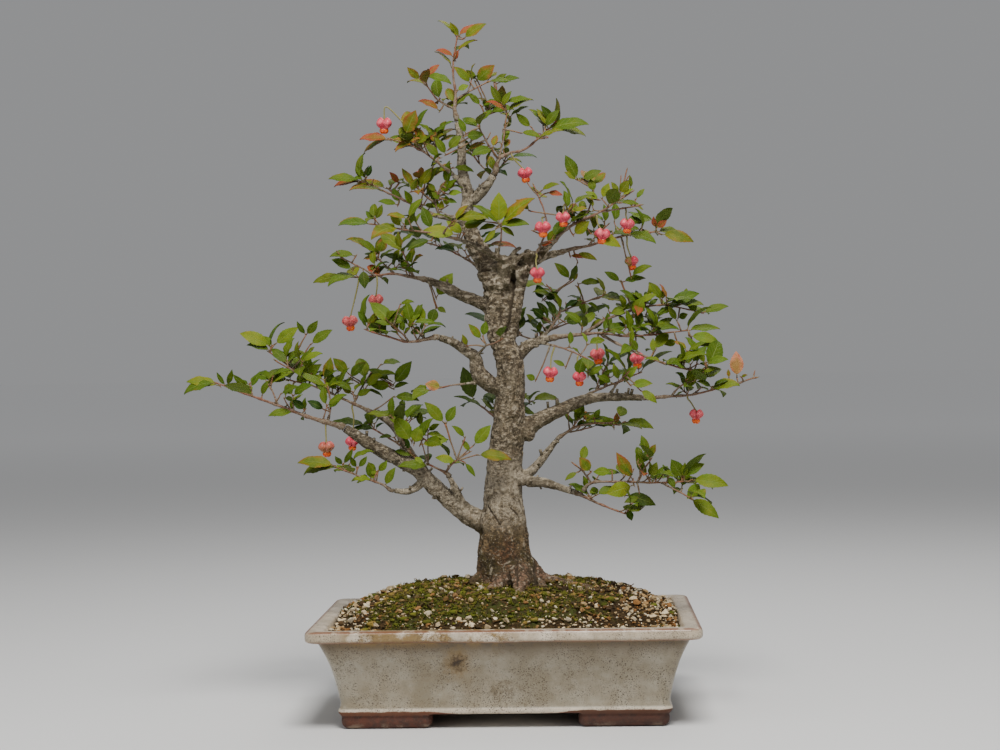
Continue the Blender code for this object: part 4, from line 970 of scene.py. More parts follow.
@dataclass(frozen=True)
class StonewareGlaze:
    """Pale, mottled glaze over a red-brown body that stays bare at the foot, with painted shade and shadow
    under the lip.
    """

    pale: Triple = (0.375, 0.335, 0.255)
    grey: Triple = (0.255, 0.215, 0.145)
    cream: Triple = (0.705, 0.610, 0.480)
    moss_stain: Triple = (0.225, 0.140, 0.042)
    iron_and_shadow: Triple = (0.050, 0.030, 0.016)
    blot_core: Triple = (0.030, 0.013, 0.002)
    grime_and_lip_shade: Triple = (0.125, 0.095, 0.055)
    broken_edge: Triple = (0.185, 0.070, 0.030)
    clay: Triple = (0.098, 0.030, 0.015)
    clay_dark: Triple = (0.040, 0.018, 0.012)
    ash: Triple = (0.26, 0.19, 0.13)
    glaze_foot: float = 0.0122
    stain_place: Triple = (-0.0170, -0.0973, 0.0522)

    def material(self) -> Material:
        """Build the nodes.

        Returns:
            The finished material.
        """
        use = Recipe("stoneware_glaze")
        cloud = use.noise(34, 6, 0.66)
        use.colour = use.mix(use.fade(cloud, 0.36, 0.62), self.grey, self.pale)
        runs = use.noise(75, 5, 0.65, use.stretched((1.0, 1.0, 0.3)))
        use.lay(use.fade(runs, 0.50, 0.70, 0.0, 0.5), self.grey)
        # Darker towards the lip: partly real grime, partly painted shade under the lip's overhang.
        grime_and_lip_shade = use.plus(use.height(), use.times(use.noise(60, 5, 0.7), 0.010))
        use.lay(use.fade(grime_and_lip_shade, 0.058, 0.0705, 0.0, 0.78), self.grime_and_lip_shade)
        # Painted shadow in a narrow band just under the lip.
        lip_shadow = use.times(use.fade(use.height(), 0.0615, 0.0675), use.fade(use.height(), 0.0690, 0.0680))
        use.lay(use.times(lip_shadow, 0.6), self.iron_and_shadow)
        dirt = use.times(use.fade(use.noise(30, 6, 0.8), 0.54, 0.66),
                         use.fade(use.noise(240, 4, 0.8), 0.42, 0.60, 0.2, 1.0))
        use.lay(use.times(dirt, 0.6), self.grime_and_lip_shade)
        raised = use.most(use.fade(use.height(), 0.0676, 0.0698),
                          use.fade(use.height(), self.glaze_foot + 0.0042, self.glaze_foot + 0.0030))
        use.lay(use.times(raised, use.fade(runs, 0.3, 0.7, 0.95, 0.55)), self.cream)
        sideways = use.plus(use.across(), use.times(use.noise(14, 3), 0.05))
        stain = use.times(use.fade(use.noise(38, 6, 0.8), 0.39, 0.53),
                          use.fade(use.height(), 0.061, 0.070, 0.15, 0.95),
                          use.fade(sideways, 0.040, 0.065, 1.0, 0.35),
                          use.fade(sideways, -0.085, -0.055, 0.35, 1.0))
        use.lay(stain, self.moss_stain)
        drawn_out = use.vector("MULTIPLY", use.vector("SUBTRACT", use.place, self.stain_place),
                               (1.0, 1.0, 0.72))
        uneven = use.times(use.minus(use.noise(190, 6, 0.8), 0.5), 0.021)
        blot = use.plus(use.vector("LENGTH", drawn_out, output="Value"), uneven)
        use.lay(use.fade(blot, 0.0010, 0.0150, 0.95, 0.0), self.moss_stain)
        use.lay(use.fade(blot, 0.0008, 0.0068, 0.97, 0.0), self.blot_core)
        drift = use.fade(use.noise(42, 5, 0.8), 0.40, 0.58, 0.10, 1.0)
        coarse = use.fade(use.cells(430), 0.17, 0.29, 0.9, 0.0)
        fine = use.fade(use.cells(900), 0.26, 0.40, 0.7, 0.0)
        specks = use.times(use.most(coarse, fine), drift)
        use.lay(specks, self.iron_and_shadow)
        edge = use.tint()[0]
        thin = use.times(edge, use.fade(use.noise(130, 4, 0.7), 0.30, 0.52, 0.15, 1.0))
        use.lay(thin, self.broken_edge)
        ragged = use.plus(use.height(), use.times(use.minus(use.noise(160, 3), 0.5), 0.0022))
        ends = use.math("ABSOLUTE", use.minus(use.across(), 0.0186))
        ragged = use.minus(ragged, use.fade(ends, 0.030, 0.060, -0.0008, 0.0016))
        bare = use.fade(ragged, self.glaze_foot - 0.0004, self.glaze_foot + 0.0004, 1.0, 0.0)
        earth = use.mix(use.fade(use.noise(150, 6, 0.75), 0.35, 0.62), self.clay_dark, self.clay)
        earth = use.mix(use.fade(use.noise(420, 5, 0.8), 0.55, 0.75, 0.0, 0.4), earth, self.ash)
        earth = use.mix(use.fade(use.height(), 0.0100, 0.0112, 0.0, 0.6), earth, self.broken_edge)
        wiped = use.times(use.fade(use.height(), 0.0055, 0.0015), use.fade(use.noise(55, 5, 0.7), 0.48, 0.6))
        earth = use.mix(use.times(wiped, 0.7), earth, self.ash)
        earth = use.mix(use.fade(use.across(), 0.040, 0.080, 0.0, 0.45), earth, self.clay_dark)
        use.lay(bare, earth)
        roughness = use.plus(use.times(bare, 0.45), use.fade(cloud, 0.3, 0.7, 0.38, 0.27))
        normal = use.bump(use.noise(700, 3, 0.6), 0.25, 0.0004)
        normal = use.bump(use.cells(1150), 0.15, 0.0003, normal)
        return use.finish(roughness, normal, Specular_IOR_Level=0.5)


@dataclass(frozen=True)
class LivingBark:
    """Grey-brown bark, pitted and flecked, reddish and green over the roots, smoother on thin limbs, with
    painted shade on the undersides and in the hollows.
    """

    grey: Triple = (0.335, 0.275, 0.185)
    brown: Triple = (0.165, 0.122, 0.070)
    pit: Triple = (0.034, 0.023, 0.012)
    fleck: Triple = (0.54, 0.465, 0.345)
    rust: Triple = (0.125, 0.052, 0.024)
    algae_and_shade: Triple = (0.052, 0.046, 0.010)
    limb: Triple = (0.135, 0.112, 0.070)
    shade: Triple = (0.062, 0.044, 0.022)
    root_skin: Triple = (0.300, 0.170, 0.110)

    def material(self) -> Material:
        """Build the nodes.

        Returns:
            The finished material.
        """
        use = Recipe("living_bark")
        girth, cavity = use.tint()[:2]
        tall = use.stretched((1.0, 1.0, 0.6))
        patches = use.noise(190, 7, 0.75, tall, 0.5)
        use.colour = use.mix(use.fade(patches, 0.36, 0.60), self.brown, self.grey)
        smoother = use.mix(use.fade(use.noise(330, 6, 0.75), 0.38, 0.74), self.limb, self.fleck)
        clouded = use.times(use.fade(use.noise(46, 4, 0.6), 0.44, 0.60, 0.0, 0.75),
                            use.fade(use.height(), 0.36, 0.41, 1.0, 0.2))
        smoother = use.mix(clouded, smoother, self.shade)
        smoother = use.mix(use.fade(use.height(), 0.38, 0.42, 0.0, 0.35), smoother, self.fleck)
        use.lay(use.fade(girth, 0.5, 0.2, 0.0, 0.8), smoother)
        worn = use.plus(use.height(), use.times(use.noise(70, 4), 0.02))
        use.lay(use.fade(worn, 0.178, 0.140, 0.0, 0.9), (0.86, 0.70, 0.46), "MULTIPLY")
        low = use.fade(use.height(), 0.165, 0.125)
        use.lay(use.times(low, use.fade(use.noise(60, 4), 0.42, 0.58, 0.15, 0.7)), self.rust)
        grain = use.fade(use.noise(260, 5, 0.8), 0.36, 0.60, 0.25, 1.0)
        red_zone = use.times(use.fade(use.off_stroke((-3, 136), (4, 124)), 0.003, 0.010, 0.8, 0.0), grain)
        use.lay(red_zone, self.rust)
        damp = use.times(use.fade(use.height(), 0.175, 0.115), use.fade(use.noise(85, 4, 0.6), 0.46, 0.58))
        green_zone = use.times(use.fade(use.off_stroke((-12, 118), (-3, 107)), 0.003, 0.012, 0.9, 0.0),
                               grain)
        damp = use.most(use.times(damp, 0.8), green_zone)
        use.lay(damp, self.algae_and_shade)
        rooty = use.least(use.off_stroke((0, 107), (-15, 100)), use.off_stroke((12, 114), (14, 99)),
                          use.off_stroke((27, 112), (44, 103)))
        rooty = use.times(use.fade(rooty, 0.003, 0.008, 0.8, 0.0),
                          use.fade(use.noise(130, 5, 0.75), 0.34, 0.56, 0.3, 1.0))
        use.lay(rooty, self.root_skin)
        lichen = use.times(use.fade(use.noise(240, 4, 0.7), 0.56, 0.66),
                           use.fade(use.facing_up(), 0.0, 0.7, 0.15, 0.8))
        use.lay(lichen, use.mix(use.noise(90), self.fleck, self.algae_and_shade))
        scales = use.cells(560, use.stretched((0.8, 0.8, 1.2)), "F1")
        flecks = use.times(use.fade(scales, 0.18, 0.34, 1.0, 0.0), use.fade(use.noise(120), 0.42, 0.58))
        use.lay(use.times(flecks, 0.7), self.fleck)
        cracks = use.cells(340, use.stretched((0.6, 0.6, 1.1)), "DISTANCE_TO_EDGE")
        dark = use.times(use.fade(cracks, 0.02, 0.16, 1.0, 0.0), use.fade(use.noise(200), 0.42, 0.58))
        pits = use.fade(use.noise(400, 5, 0.8, use.stretched((0.75, 0.75, 1.5))), 0.46, 0.555, 1.0, 0.0)
        pits = use.times(pits, use.fade(use.noise(110, 3), 0.3, 0.6, 0.6, 1.0))
        dark = use.most(use.times(dark, 0.6), use.times(pits, 0.92))
        dark = use.times(dark, use.fade(girth, 0.05, 0.4, 0.5, 1.0))
        dark = use.times(dark, use.fade(use.height(), 0.38, 0.42, 1.0, 0.6))
        # Darker in the hollows and grooves of the relief: partly the bark's darker fissures, partly painted
        # shade.
        dark = use.most(dark, use.fade(cavity, 0.38, 0.85, 0.0, 0.95))
        scar = use.least(use.off_stroke((-13.5, 164), (-3.8, 150)),
                         use.off_stroke((0.0, 143.6), (1.4, 142.4)), use.off_stroke((4.5, 163), (9.5, 158)))
        scar = use.plus(scar, use.times(use.noise(420, 4, 0.8), 0.0016))
        scar = use.times(use.fade(scar, 0.0010, 0.0019, 0.95, 0.0),
                         use.fade(use.part(use.place, "Y"), -0.004, -0.008))
        use.lay(dark, self.pit)
        # Painted shade: faces that look down are darkened.
        use.lay(use.fade(use.facing_up(), -0.9, 0.1, 0.5, 0.0), self.algae_and_shade)
        scraped = use.times(use.fade(use.height(), 0.215, 0.185), use.fade(use.height(), 0.140, 0.160),
                            use.fade(use.noise(210, 6, 0.8), 0.42, 0.58, 0.0, 0.5))
        use.lay(scraped, self.fleck)
        # Paler on the raised parts of the relief: partly weathered bark, partly painted highlight.
        use.lay(use.fade(cavity, 0.20, 0.0, 0.0, 0.45), self.fleck)
        fine = use.times(use.fade(use.noise(620, 4, 0.8), 0.44, 0.36, 0.0, 0.75), use.fade(girth, 0.2, 0.5))
        use.lay(fine, self.pit)
        shaded = use.times(use.fade(use.off_stroke((20, 181), (42, 178)), 0.003, 0.010, 0.75, 0.0), grain)
        use.lay(shaded, self.shade)
        use.lay(scar, self.pit)
        relief = use.minus(use.plus(use.noise(620, 5, 0.72), use.times(flecks, 0.3)),
                           use.times(use.most(dark, scar), 0.6))
        normal = use.bump(relief, 0.8, 0.0010)
        return use.finish(use.fade(patches, 0.3, 0.7, 0.92, 0.78), normal, Specular_IOR_Level=0.3)


@dataclass(frozen=True)
class SpindleLeaf:
    """Thin satin leaf: green to yellow-green with paler veins, red from the margin inwards as it turns."""

    deep: Triple = (0.011, 0.034, 0.003)
    mid: Triple = (0.038, 0.090, 0.005)
    light: Triple = (0.098, 0.185, 0.012)
    yellow: Triple = (0.215, 0.200, 0.012)
    vein: Triple = (0.20, 0.25, 0.06)
    red: Triple = (0.255, 0.052, 0.022)
    blush: Triple = (0.50, 0.205, 0.115)
    under: Triple = (0.088, 0.130, 0.026)
    vein_pairs: float = 7.0

    def material(self) -> Material:
        """Build the nodes.

        Returns:
            The finished material.
        """
        use = Recipe("spindle_leaf")
        yellowness, brightness, redness, underside = use.tint()
        chart = use.node("ShaderNodeUVMap", uv_map="chart").outputs[0]
        out = use.times(use.math("ABSOLUTE", use.minus(use.part(chart, "X"), 0.5)), 2.0)
        length = use.part(chart, "Y")
        mottle = use.noise(230, 4, 0.6)
        lightness = use.plus(brightness, use.fade(mottle, 0.3, 0.7, -0.08, 0.08), True)
        use.colour = use.mix(use.fade(lightness, 0.0, 0.55), self.deep, self.mid)
        use.lay(use.fade(lightness, 0.45, 1.0), self.light)
        patch = use.times(yellowness, use.fade(use.noise(130, 3), 0.25, 0.75, 0.35, 1.0))
        use.lay(patch, self.yellow)
        rib = use.fade(out, 0.0, 0.085, 1.0, 0.0)
        climb = use.minus(length, use.times(out, 0.24))
        wave = use.math("FRACT", use.times(climb, self.vein_pairs))
        side_vein = use.fade(use.math("ABSOLUTE", use.minus(wave, 0.5)), 0.0, 0.11, 1.0, 0.0)
        side_vein = use.times(side_vein, use.fade(out, 0.95, 0.5, 0.0, 0.55))
        veins = use.most(rib, side_vein)
        use.lay(use.times(veins, 0.55), self.vein)
        side_of = use.plus(use.times(out, 0.6), use.times(length, 0.5))
        edge = use.fade(use.plus(side_of, use.times(use.minus(use.noise(130, 4), 0.5), 1.7)), 1.15, 0.15,
                        0.0, 1.0)
        reach = use.minus(use.times(redness, 1.6), use.times(edge, 0.9), True)
        paler = use.times(use.fade(use.noise(160), 0.35, 0.6, 0.4, 1.0), use.fade(lightness, 0.5, 0.95))
        blushed = use.mix(paler, self.red, self.blush)
        use.lay(reach, blushed)
        use.lay(use.times(underside, 0.45), self.under)
        blister = use.noise(900, 3, 0.6)
        relief = use.minus(use.times(blister, 0.35), use.times(veins, 0.8))
        normal = use.bump(relief, 0.5, 0.0004)
        roughness = use.plus(use.fade(mottle, 0.3, 0.7, 0.46, 0.60), use.times(underside, 0.2))
        return use.finish(roughness, normal, Specular_IOR_Level=0.10)


@dataclass(frozen=True)
class YoungTwig:
    """Thin shoots and stalks: green when young, reddish at the nodes, grey-brown when older."""

    green: Triple = (0.13, 0.125, 0.030)
    brown: Triple = (0.105, 0.070, 0.036)
    grey: Triple = (0.22, 0.19, 0.135)
    red: Triple = (0.24, 0.055, 0.030)

    def material(self) -> Material:
        """Build the nodes.

        Returns:
            The finished material.
        """
        use = Recipe("young_twig")
        age, brightness, redness, _alpha = use.tint()
        old = use.mix(use.fade(use.noise(420, 5, 0.7), 0.4, 0.6), self.brown, self.grey)
        use.colour = use.mix(use.fade(age, 0.2, 0.75), self.green, old)
        use.lay(use.times(redness, use.fade(use.noise(300), 0.3, 0.6, 0.3, 1.0)), self.red)
        use.lay(use.fade(brightness, 0.0, 1.0, 0.35, 0.0), (0.05, 0.04, 0.02))
        normal = use.bump(use.noise(1400, 4, 0.7), 0.6, 0.0004)
        return use.finish(use.fade(age, 0.0, 1.0, 0.5, 0.85), normal, Specular_IOR_Level=0.4)


@dataclass(frozen=True)
class FruitSkin:
    """Satin pink capsule, waxy orange aril and pale green calyx, chosen by the tint."""

    pink: Triple = (0.56, 0.045, 0.080)
    pale: Triple = (0.76, 0.14, 0.165)
    green: Triple = (0.20, 0.19, 0.035)
    orange: Triple = (0.80, 0.16, 0.008)
    ember: Triple = (0.58, 0.05, 0.010)
    stalk: Triple = (0.22, 0.20, 0.06)

    def material(self) -> Material:
        """Build the nodes.

        Returns:
            The finished material.
        """
        use = Recipe("fruit_skin")
        aril, crease, ripeness, stalk = use.tint()
        cloud = use.noise(240, 4, 0.6)
        capsule = use.mix(use.fade(cloud, 0.42, 0.68), self.pink, self.pale)
        # Painted shade: darker in the creases between the lobes.
        capsule = use.mix(use.times(crease, 0.7), capsule, (0.30, 0.015, 0.04))
        unripe = use.times(ripeness, use.fade(use.noise(160, 3), 0.30, 0.50, 0.55, 1.0))
        capsule = use.mix(unripe, capsule, self.green)
        seed = use.mix(use.fade(use.noise(330), 0.35, 0.65), self.orange, self.ember)
        use.colour = use.mix(aril, capsule, seed)
        use.lay(stalk, self.stalk)
        roughness = use.fade(aril, 0.0, 1.0, 0.44, 0.27)
        normal = use.bump(use.noise(1100, 3, 0.6), 0.3, 0.0003)
        return use.finish(roughness, normal, Specular_IOR_Level=0.35)


@dataclass(frozen=True)
class SoilGrain:
    """Loose grains: cream and white pumice, tan and orange clay grains, dark lava, chosen by the tint."""

    def material(self) -> Material:
        """Build the nodes.

        Returns:
            The finished material.
        """
        use = Recipe("soil_grain")
        choice, brightness, dirt, _alpha = use.tint()
        stops = [(0.0, (0.035, 0.022, 0.012)), (0.25, (0.12, 0.070, 0.028)), (0.45, (0.34, 0.155, 0.045)),
                 (0.62, (0.50, 0.34, 0.16)), (0.80, (0.74, 0.58, 0.35)), (1.0, (0.93, 0.82, 0.60))]
        colours = use.node("ShaderNodeValToRGB")
        bar = colours.color_ramp
        while len(bar.elements) < len(stops):
            bar.elements.new(0.5)
        for element, (position, colour) in zip(bar.elements, stops):
            element.position = position
            element.color = (*colour, 1.0)
        use.link(choice, colours.inputs[0])
        pores = use.fade(use.noise(1500, 3, 0.7), 0.34, 0.5, 1.0, 0.0)
        use.colour = use.mix(use.times(pores, 0.55), colours.outputs[0], (0.10, 0.06, 0.03))
        use.lay(use.times(dirt, use.fade(use.noise(350), 0.4, 0.6)), (0.12, 0.11, 0.035))
        use.lay(use.fade(brightness, 0.0, 1.0, 0.45, 0.0), (0.02, 0.014, 0.008))
        normal = use.bump(use.noise(1700, 4, 0.7), 0.8, 0.0006)
        return use.finish(0.93, normal, Specular_IOR_Level=0.2)


@dataclass(frozen=True)
class SoilBedding:
    """Dark humus and fine grit between the grains."""

    humus: Triple = (0.018, 0.011, 0.005)
    loam: Triple = (0.075, 0.045, 0.018)
    slime: Triple = (0.055, 0.065, 0.015)

    def material(self) -> Material:
        """Build the nodes.

        Returns:
            The finished material.
        """
        use = Recipe("soil_bedding")
        use.colour = use.mix(use.fade(use.noise(500, 5, 0.7), 0.4, 0.62), self.humus, self.loam)
        use.lay(use.times(use.tint()[0], use.fade(use.noise(260), 0.35, 0.6)), self.slime)
        normal = use.bump(use.noise(900, 5, 0.75), 0.9, 0.0012)
        return use.finish(0.97, normal, Specular_IOR_Level=0.15)


@dataclass(frozen=True)
class Moss:
    """Low moss, dark at the foot and yellow-green at the tips."""

    foot: Triple = (0.014, 0.017, 0.003)
    tip: Triple = (0.190, 0.210, 0.018)
    dry: Triple = (0.29, 0.19, 0.045)

    def material(self) -> Material:
        """Build the nodes.

        Returns:
            The finished material.
        """
        use = Recipe("moss")
        rise, brightness, dryness, _alpha = use.tint()
        use.colour = use.mix(rise, self.foot, self.tip)
        use.lay(use.times(dryness, use.fade(use.noise(70, 3), 0.42, 0.6)), self.dry)
        use.lay(use.fade(brightness, 0.0, 1.0, 0.6, 0.0), self.foot)
        return use.finish(0.9, use.bump(use.noise(1500), 0.6, 0.0005), Specular_IOR_Level=0.15)


@dataclass(frozen=True)
class NetPlastic:
    """Black extruded plastic of the drain screens."""

    def material(self) -> Material:
        """Build the nodes.

        Returns:
            The finished material.
        """
        use = Recipe("net_plastic")
        use.colour = use.mix(use.fade(use.noise(320, 4), 0.4, 0.65), (0.020, 0.020, 0.022),
                             (0.075, 0.06, 0.045))
        return use.finish(0.55, use.bump(use.noise(900), 0.3, 0.0003))


@dataclass
class GlazedTray:
    """The tray: flared wall with a lip, floor with two drain holes, and four feet."""

    corner_radius: float = 7.0
    corner_segments: int = 5
    base_length: float = 252.0
    foot_wall: float = 17.0
    foot_height: float = 12.8
    foot_rounding: float = 5.5
    foot_slot_long: float = 112.0
    foot_slot_short: float = 84.0
    drain_diameter: float = 20.0
    drain_spacing: float = 120.0
    voxel: float = 1.3
    wobble: float = 0.7
    kept_share: float = 0.30

    def levels(self) -> list[tuple[float, float]]:
        """Return half length and height of each level, from the foot over the lip to the floor inside.

        Returns:
            The levels, mm.
        """
        rim = TRAY_LENGTH / 2 + 0.8
        inner = TRAY_LENGTH / 2 - LIP_WIDTH
        lip = TRAY_HEIGHT - 9.4
        return [(127.0, 10.9), (127.7, 11.7), (128.5, 13.2), (128.4, 15.0), (127.0, 16.4), (126.8, 20.5),
                (128.0, 27.0), (129.4, 34.0), (131.2, 41.0), (133.4, 48.5), (136.2, 56.0), (139.4, 63.0),
                (141.0, 66.2), (141.8, lip - 0.8), (142.6, lip), (147.8, lip + 0.1), (149.9, lip + 0.9),
                (rim, lip + 2.4), (rim, TRAY_HEIGHT - 2.2), (rim - 0.7, TRAY_HEIGHT - 0.7),
                (rim - 2.4, TRAY_HEIGHT), (inner + 6.0, TRAY_HEIGHT + 0.1), (inner + 1.4, TRAY_HEIGHT - 0.3),
                (inner, TRAY_HEIGHT - 1.6), (inner - 3.5, 66.0), (inner - 10.0, 50.0), (inner - 17.0, 33.0),
                (inner - 20.0, FLOOR_TOP)]

    def raise_wall(self) -> Piece:
        """Raise the wall from a flat base by extruding and resizing level by level.

        Returns:
            The tray's object, without feet.
        """
        half = self.base_length / 2 - 0.8
        narrow = (TRAY_LENGTH - TRAY_WIDTH) / 2
        centre = spot((0, 0, FLOOR_UNDERSIDE))
        deselect()
        bpy.ops.mesh.primitive_plane_add(size=1.0, location=centre)
        tray = bpy.context.object
        tray.name = "glazed_tray"
        bpy.ops.object.mode_set(mode="EDIT")
        bpy.ops.mesh.select_all(action="SELECT")
        bpy.ops.transform.resize(value=(2 * half * MM, 2 * (half - narrow) * MM, 1.0),
                                 center_override=centre)
        bpy.ops.mesh.subdivide(number_cuts=1)
        bpy.ops.mesh.select_all(action="SELECT")
        bpy.ops.mesh.dissolve_limited(angle_limit=0.01)
        bpy.ops.mesh.bevel(offset=self.corner_radius * MM, segments=self.corner_segments, affect="VERTICES")
        bpy.ops.mesh.select_all(action="SELECT")
        height = FLOOR_UNDERSIDE
        for reach, level in self.levels():
            lift = (0.0, 0.0, (level - height) * MM)
            bpy.ops.mesh.extrude_region_move(TRANSFORM_OT_translate={"value": lift})
            bpy.ops.transform.resize(value=(reach / half, (reach - narrow) / (half - narrow), 1.0),
                                     center_override=spot((0, 0, level)))
            half, height = reach, level
        bpy.ops.mesh.select_all(action="SELECT")
        bpy.ops.mesh.normals_make_consistent(inside=False)
        bpy.ops.object.mode_set(mode="OBJECT")
        return tray

    @staticmethod
    def block(middle: Vector, size: Vector) -> Piece:
        """Add a box.

        Args:
            middle: Its middle, mm.
            size: Its three sizes, mm.

        Returns:
            The box's object.
        """
        deselect()
        bpy.ops.mesh.primitive_cube_add(size=1.0, location=spot(middle), scale=size * MM)
        bpy.ops.object.transform_apply(location=False, rotation=False, scale=True)
        return bpy.context.object

    def foot_block(self, side_x: int, side_y: int) -> Piece:
        """Model one L-shaped corner foot from a block that is cut back on its inner side.

        Args:
            side_x: -1 for the left feet, 1 for the right ones.
            side_y: -1 for the front feet, 1 for the back ones.

        Returns:
            The foot's object.
        """
        outer_x = self.base_length / 2
        outer_y = outer_x - (TRAY_LENGTH - TRAY_WIDTH) / 2
        inner_x = self.foot_slot_long / 2
        inner_y = self.foot_slot_short / 2
        middle = Vector((side_x * (outer_x + inner_x), side_y * (outer_y + inner_y), self.foot_height)) / 2
        size = Vector((outer_x - inner_x, outer_y - inner_y, self.foot_height))
        foot = self.block(middle, size)
        apply_modifier(foot, "BEVEL", width=self.foot_rounding * MM, segments=4, limit_method="ANGLE")
        inwards = Vector((side_x, side_y, 0)) * self.foot_wall
        combine(foot, self.block(middle - inwards, size + Vector((0, 0, 8))), "DIFFERENCE")
        return foot

    def build(self) -> Piece:
        """Build the tray and mark where its glaze breaks thin.

        Returns:
            The finished piece.
        """
        tray = self.raise_wall()
        for side_x in (-1, 1):
            for side_y in (-1, 1):
                combine(tray, self.foot_block(side_x, side_y), "UNION")
        for side in (-1, 1):
            deselect()
            bpy.ops.mesh.primitive_cylinder_add(vertices=32, radius=self.drain_diameter / 2 * MM, depth=0.04,
                                                location=spot((side * self.drain_spacing / 2, 0, FLOOR_TOP)))
            combine(tray, bpy.context.object, "DIFFERENCE")
        pick(tray)
        bpy.ops.object.transform_apply(location=True, rotation=True, scale=True)
        apply_modifier(tray, "REMESH", mode="VOXEL", voxel_size=self.voxel * MM, use_smooth_shade=True)
        apply_modifier(tray, "SMOOTH", factor=0.5, iterations=2)
        apply_modifier(tray, "DECIMATE", ratio=self.kept_share)
        self.shape_by_hand(tray)
        return settle(tray, StonewareGlaze().material(), slot="glaze", stands_for=["pot"])

    def shape_by_hand(self, tray: Piece) -> None:
        """Give the wall the slight unevenness of hand work and store where the glaze is thin.

        Args:
            tray: The tray's object.
        """
        mesh = tray.data
        normals = [vertex.normal.copy() for vertex in mesh.vertices]
        points = [vertex.co / MM for vertex in mesh.vertices]
        shades = np.zeros((len(points), 4), np.float32)
        for number, (point, normal) in enumerate(zip(points, normals)):
            beyond = max(abs(point.x - PLANT_SHIFT.x) - TRAY_LENGTH / 2, abs(point.y) - TRAY_WIDTH / 2)
            upper = ramp(abs(point.z - TRAY_HEIGHT), 2.6, 0.2) * ramp(beyond, -4.0, -1.0)
            lower = ramp(abs(point.z - (TRAY_HEIGHT - 9.0)), 1.8, 0.2) * ramp(normal.z, 0.5, -0.2) * 0.8
            shades[number] = (max(upper, lower), 0.0, 0.0, 1.0)
            if 20.0 < point.z < TRAY_HEIGHT - 3.0:
                points[number] = point + normal * noise.noise(point / 45.0) * self.wobble
        mesh.vertices.foreach_set("co", (np.array(points) * MM).astype(np.float32).ravel())
        store_tint(mesh, shades)


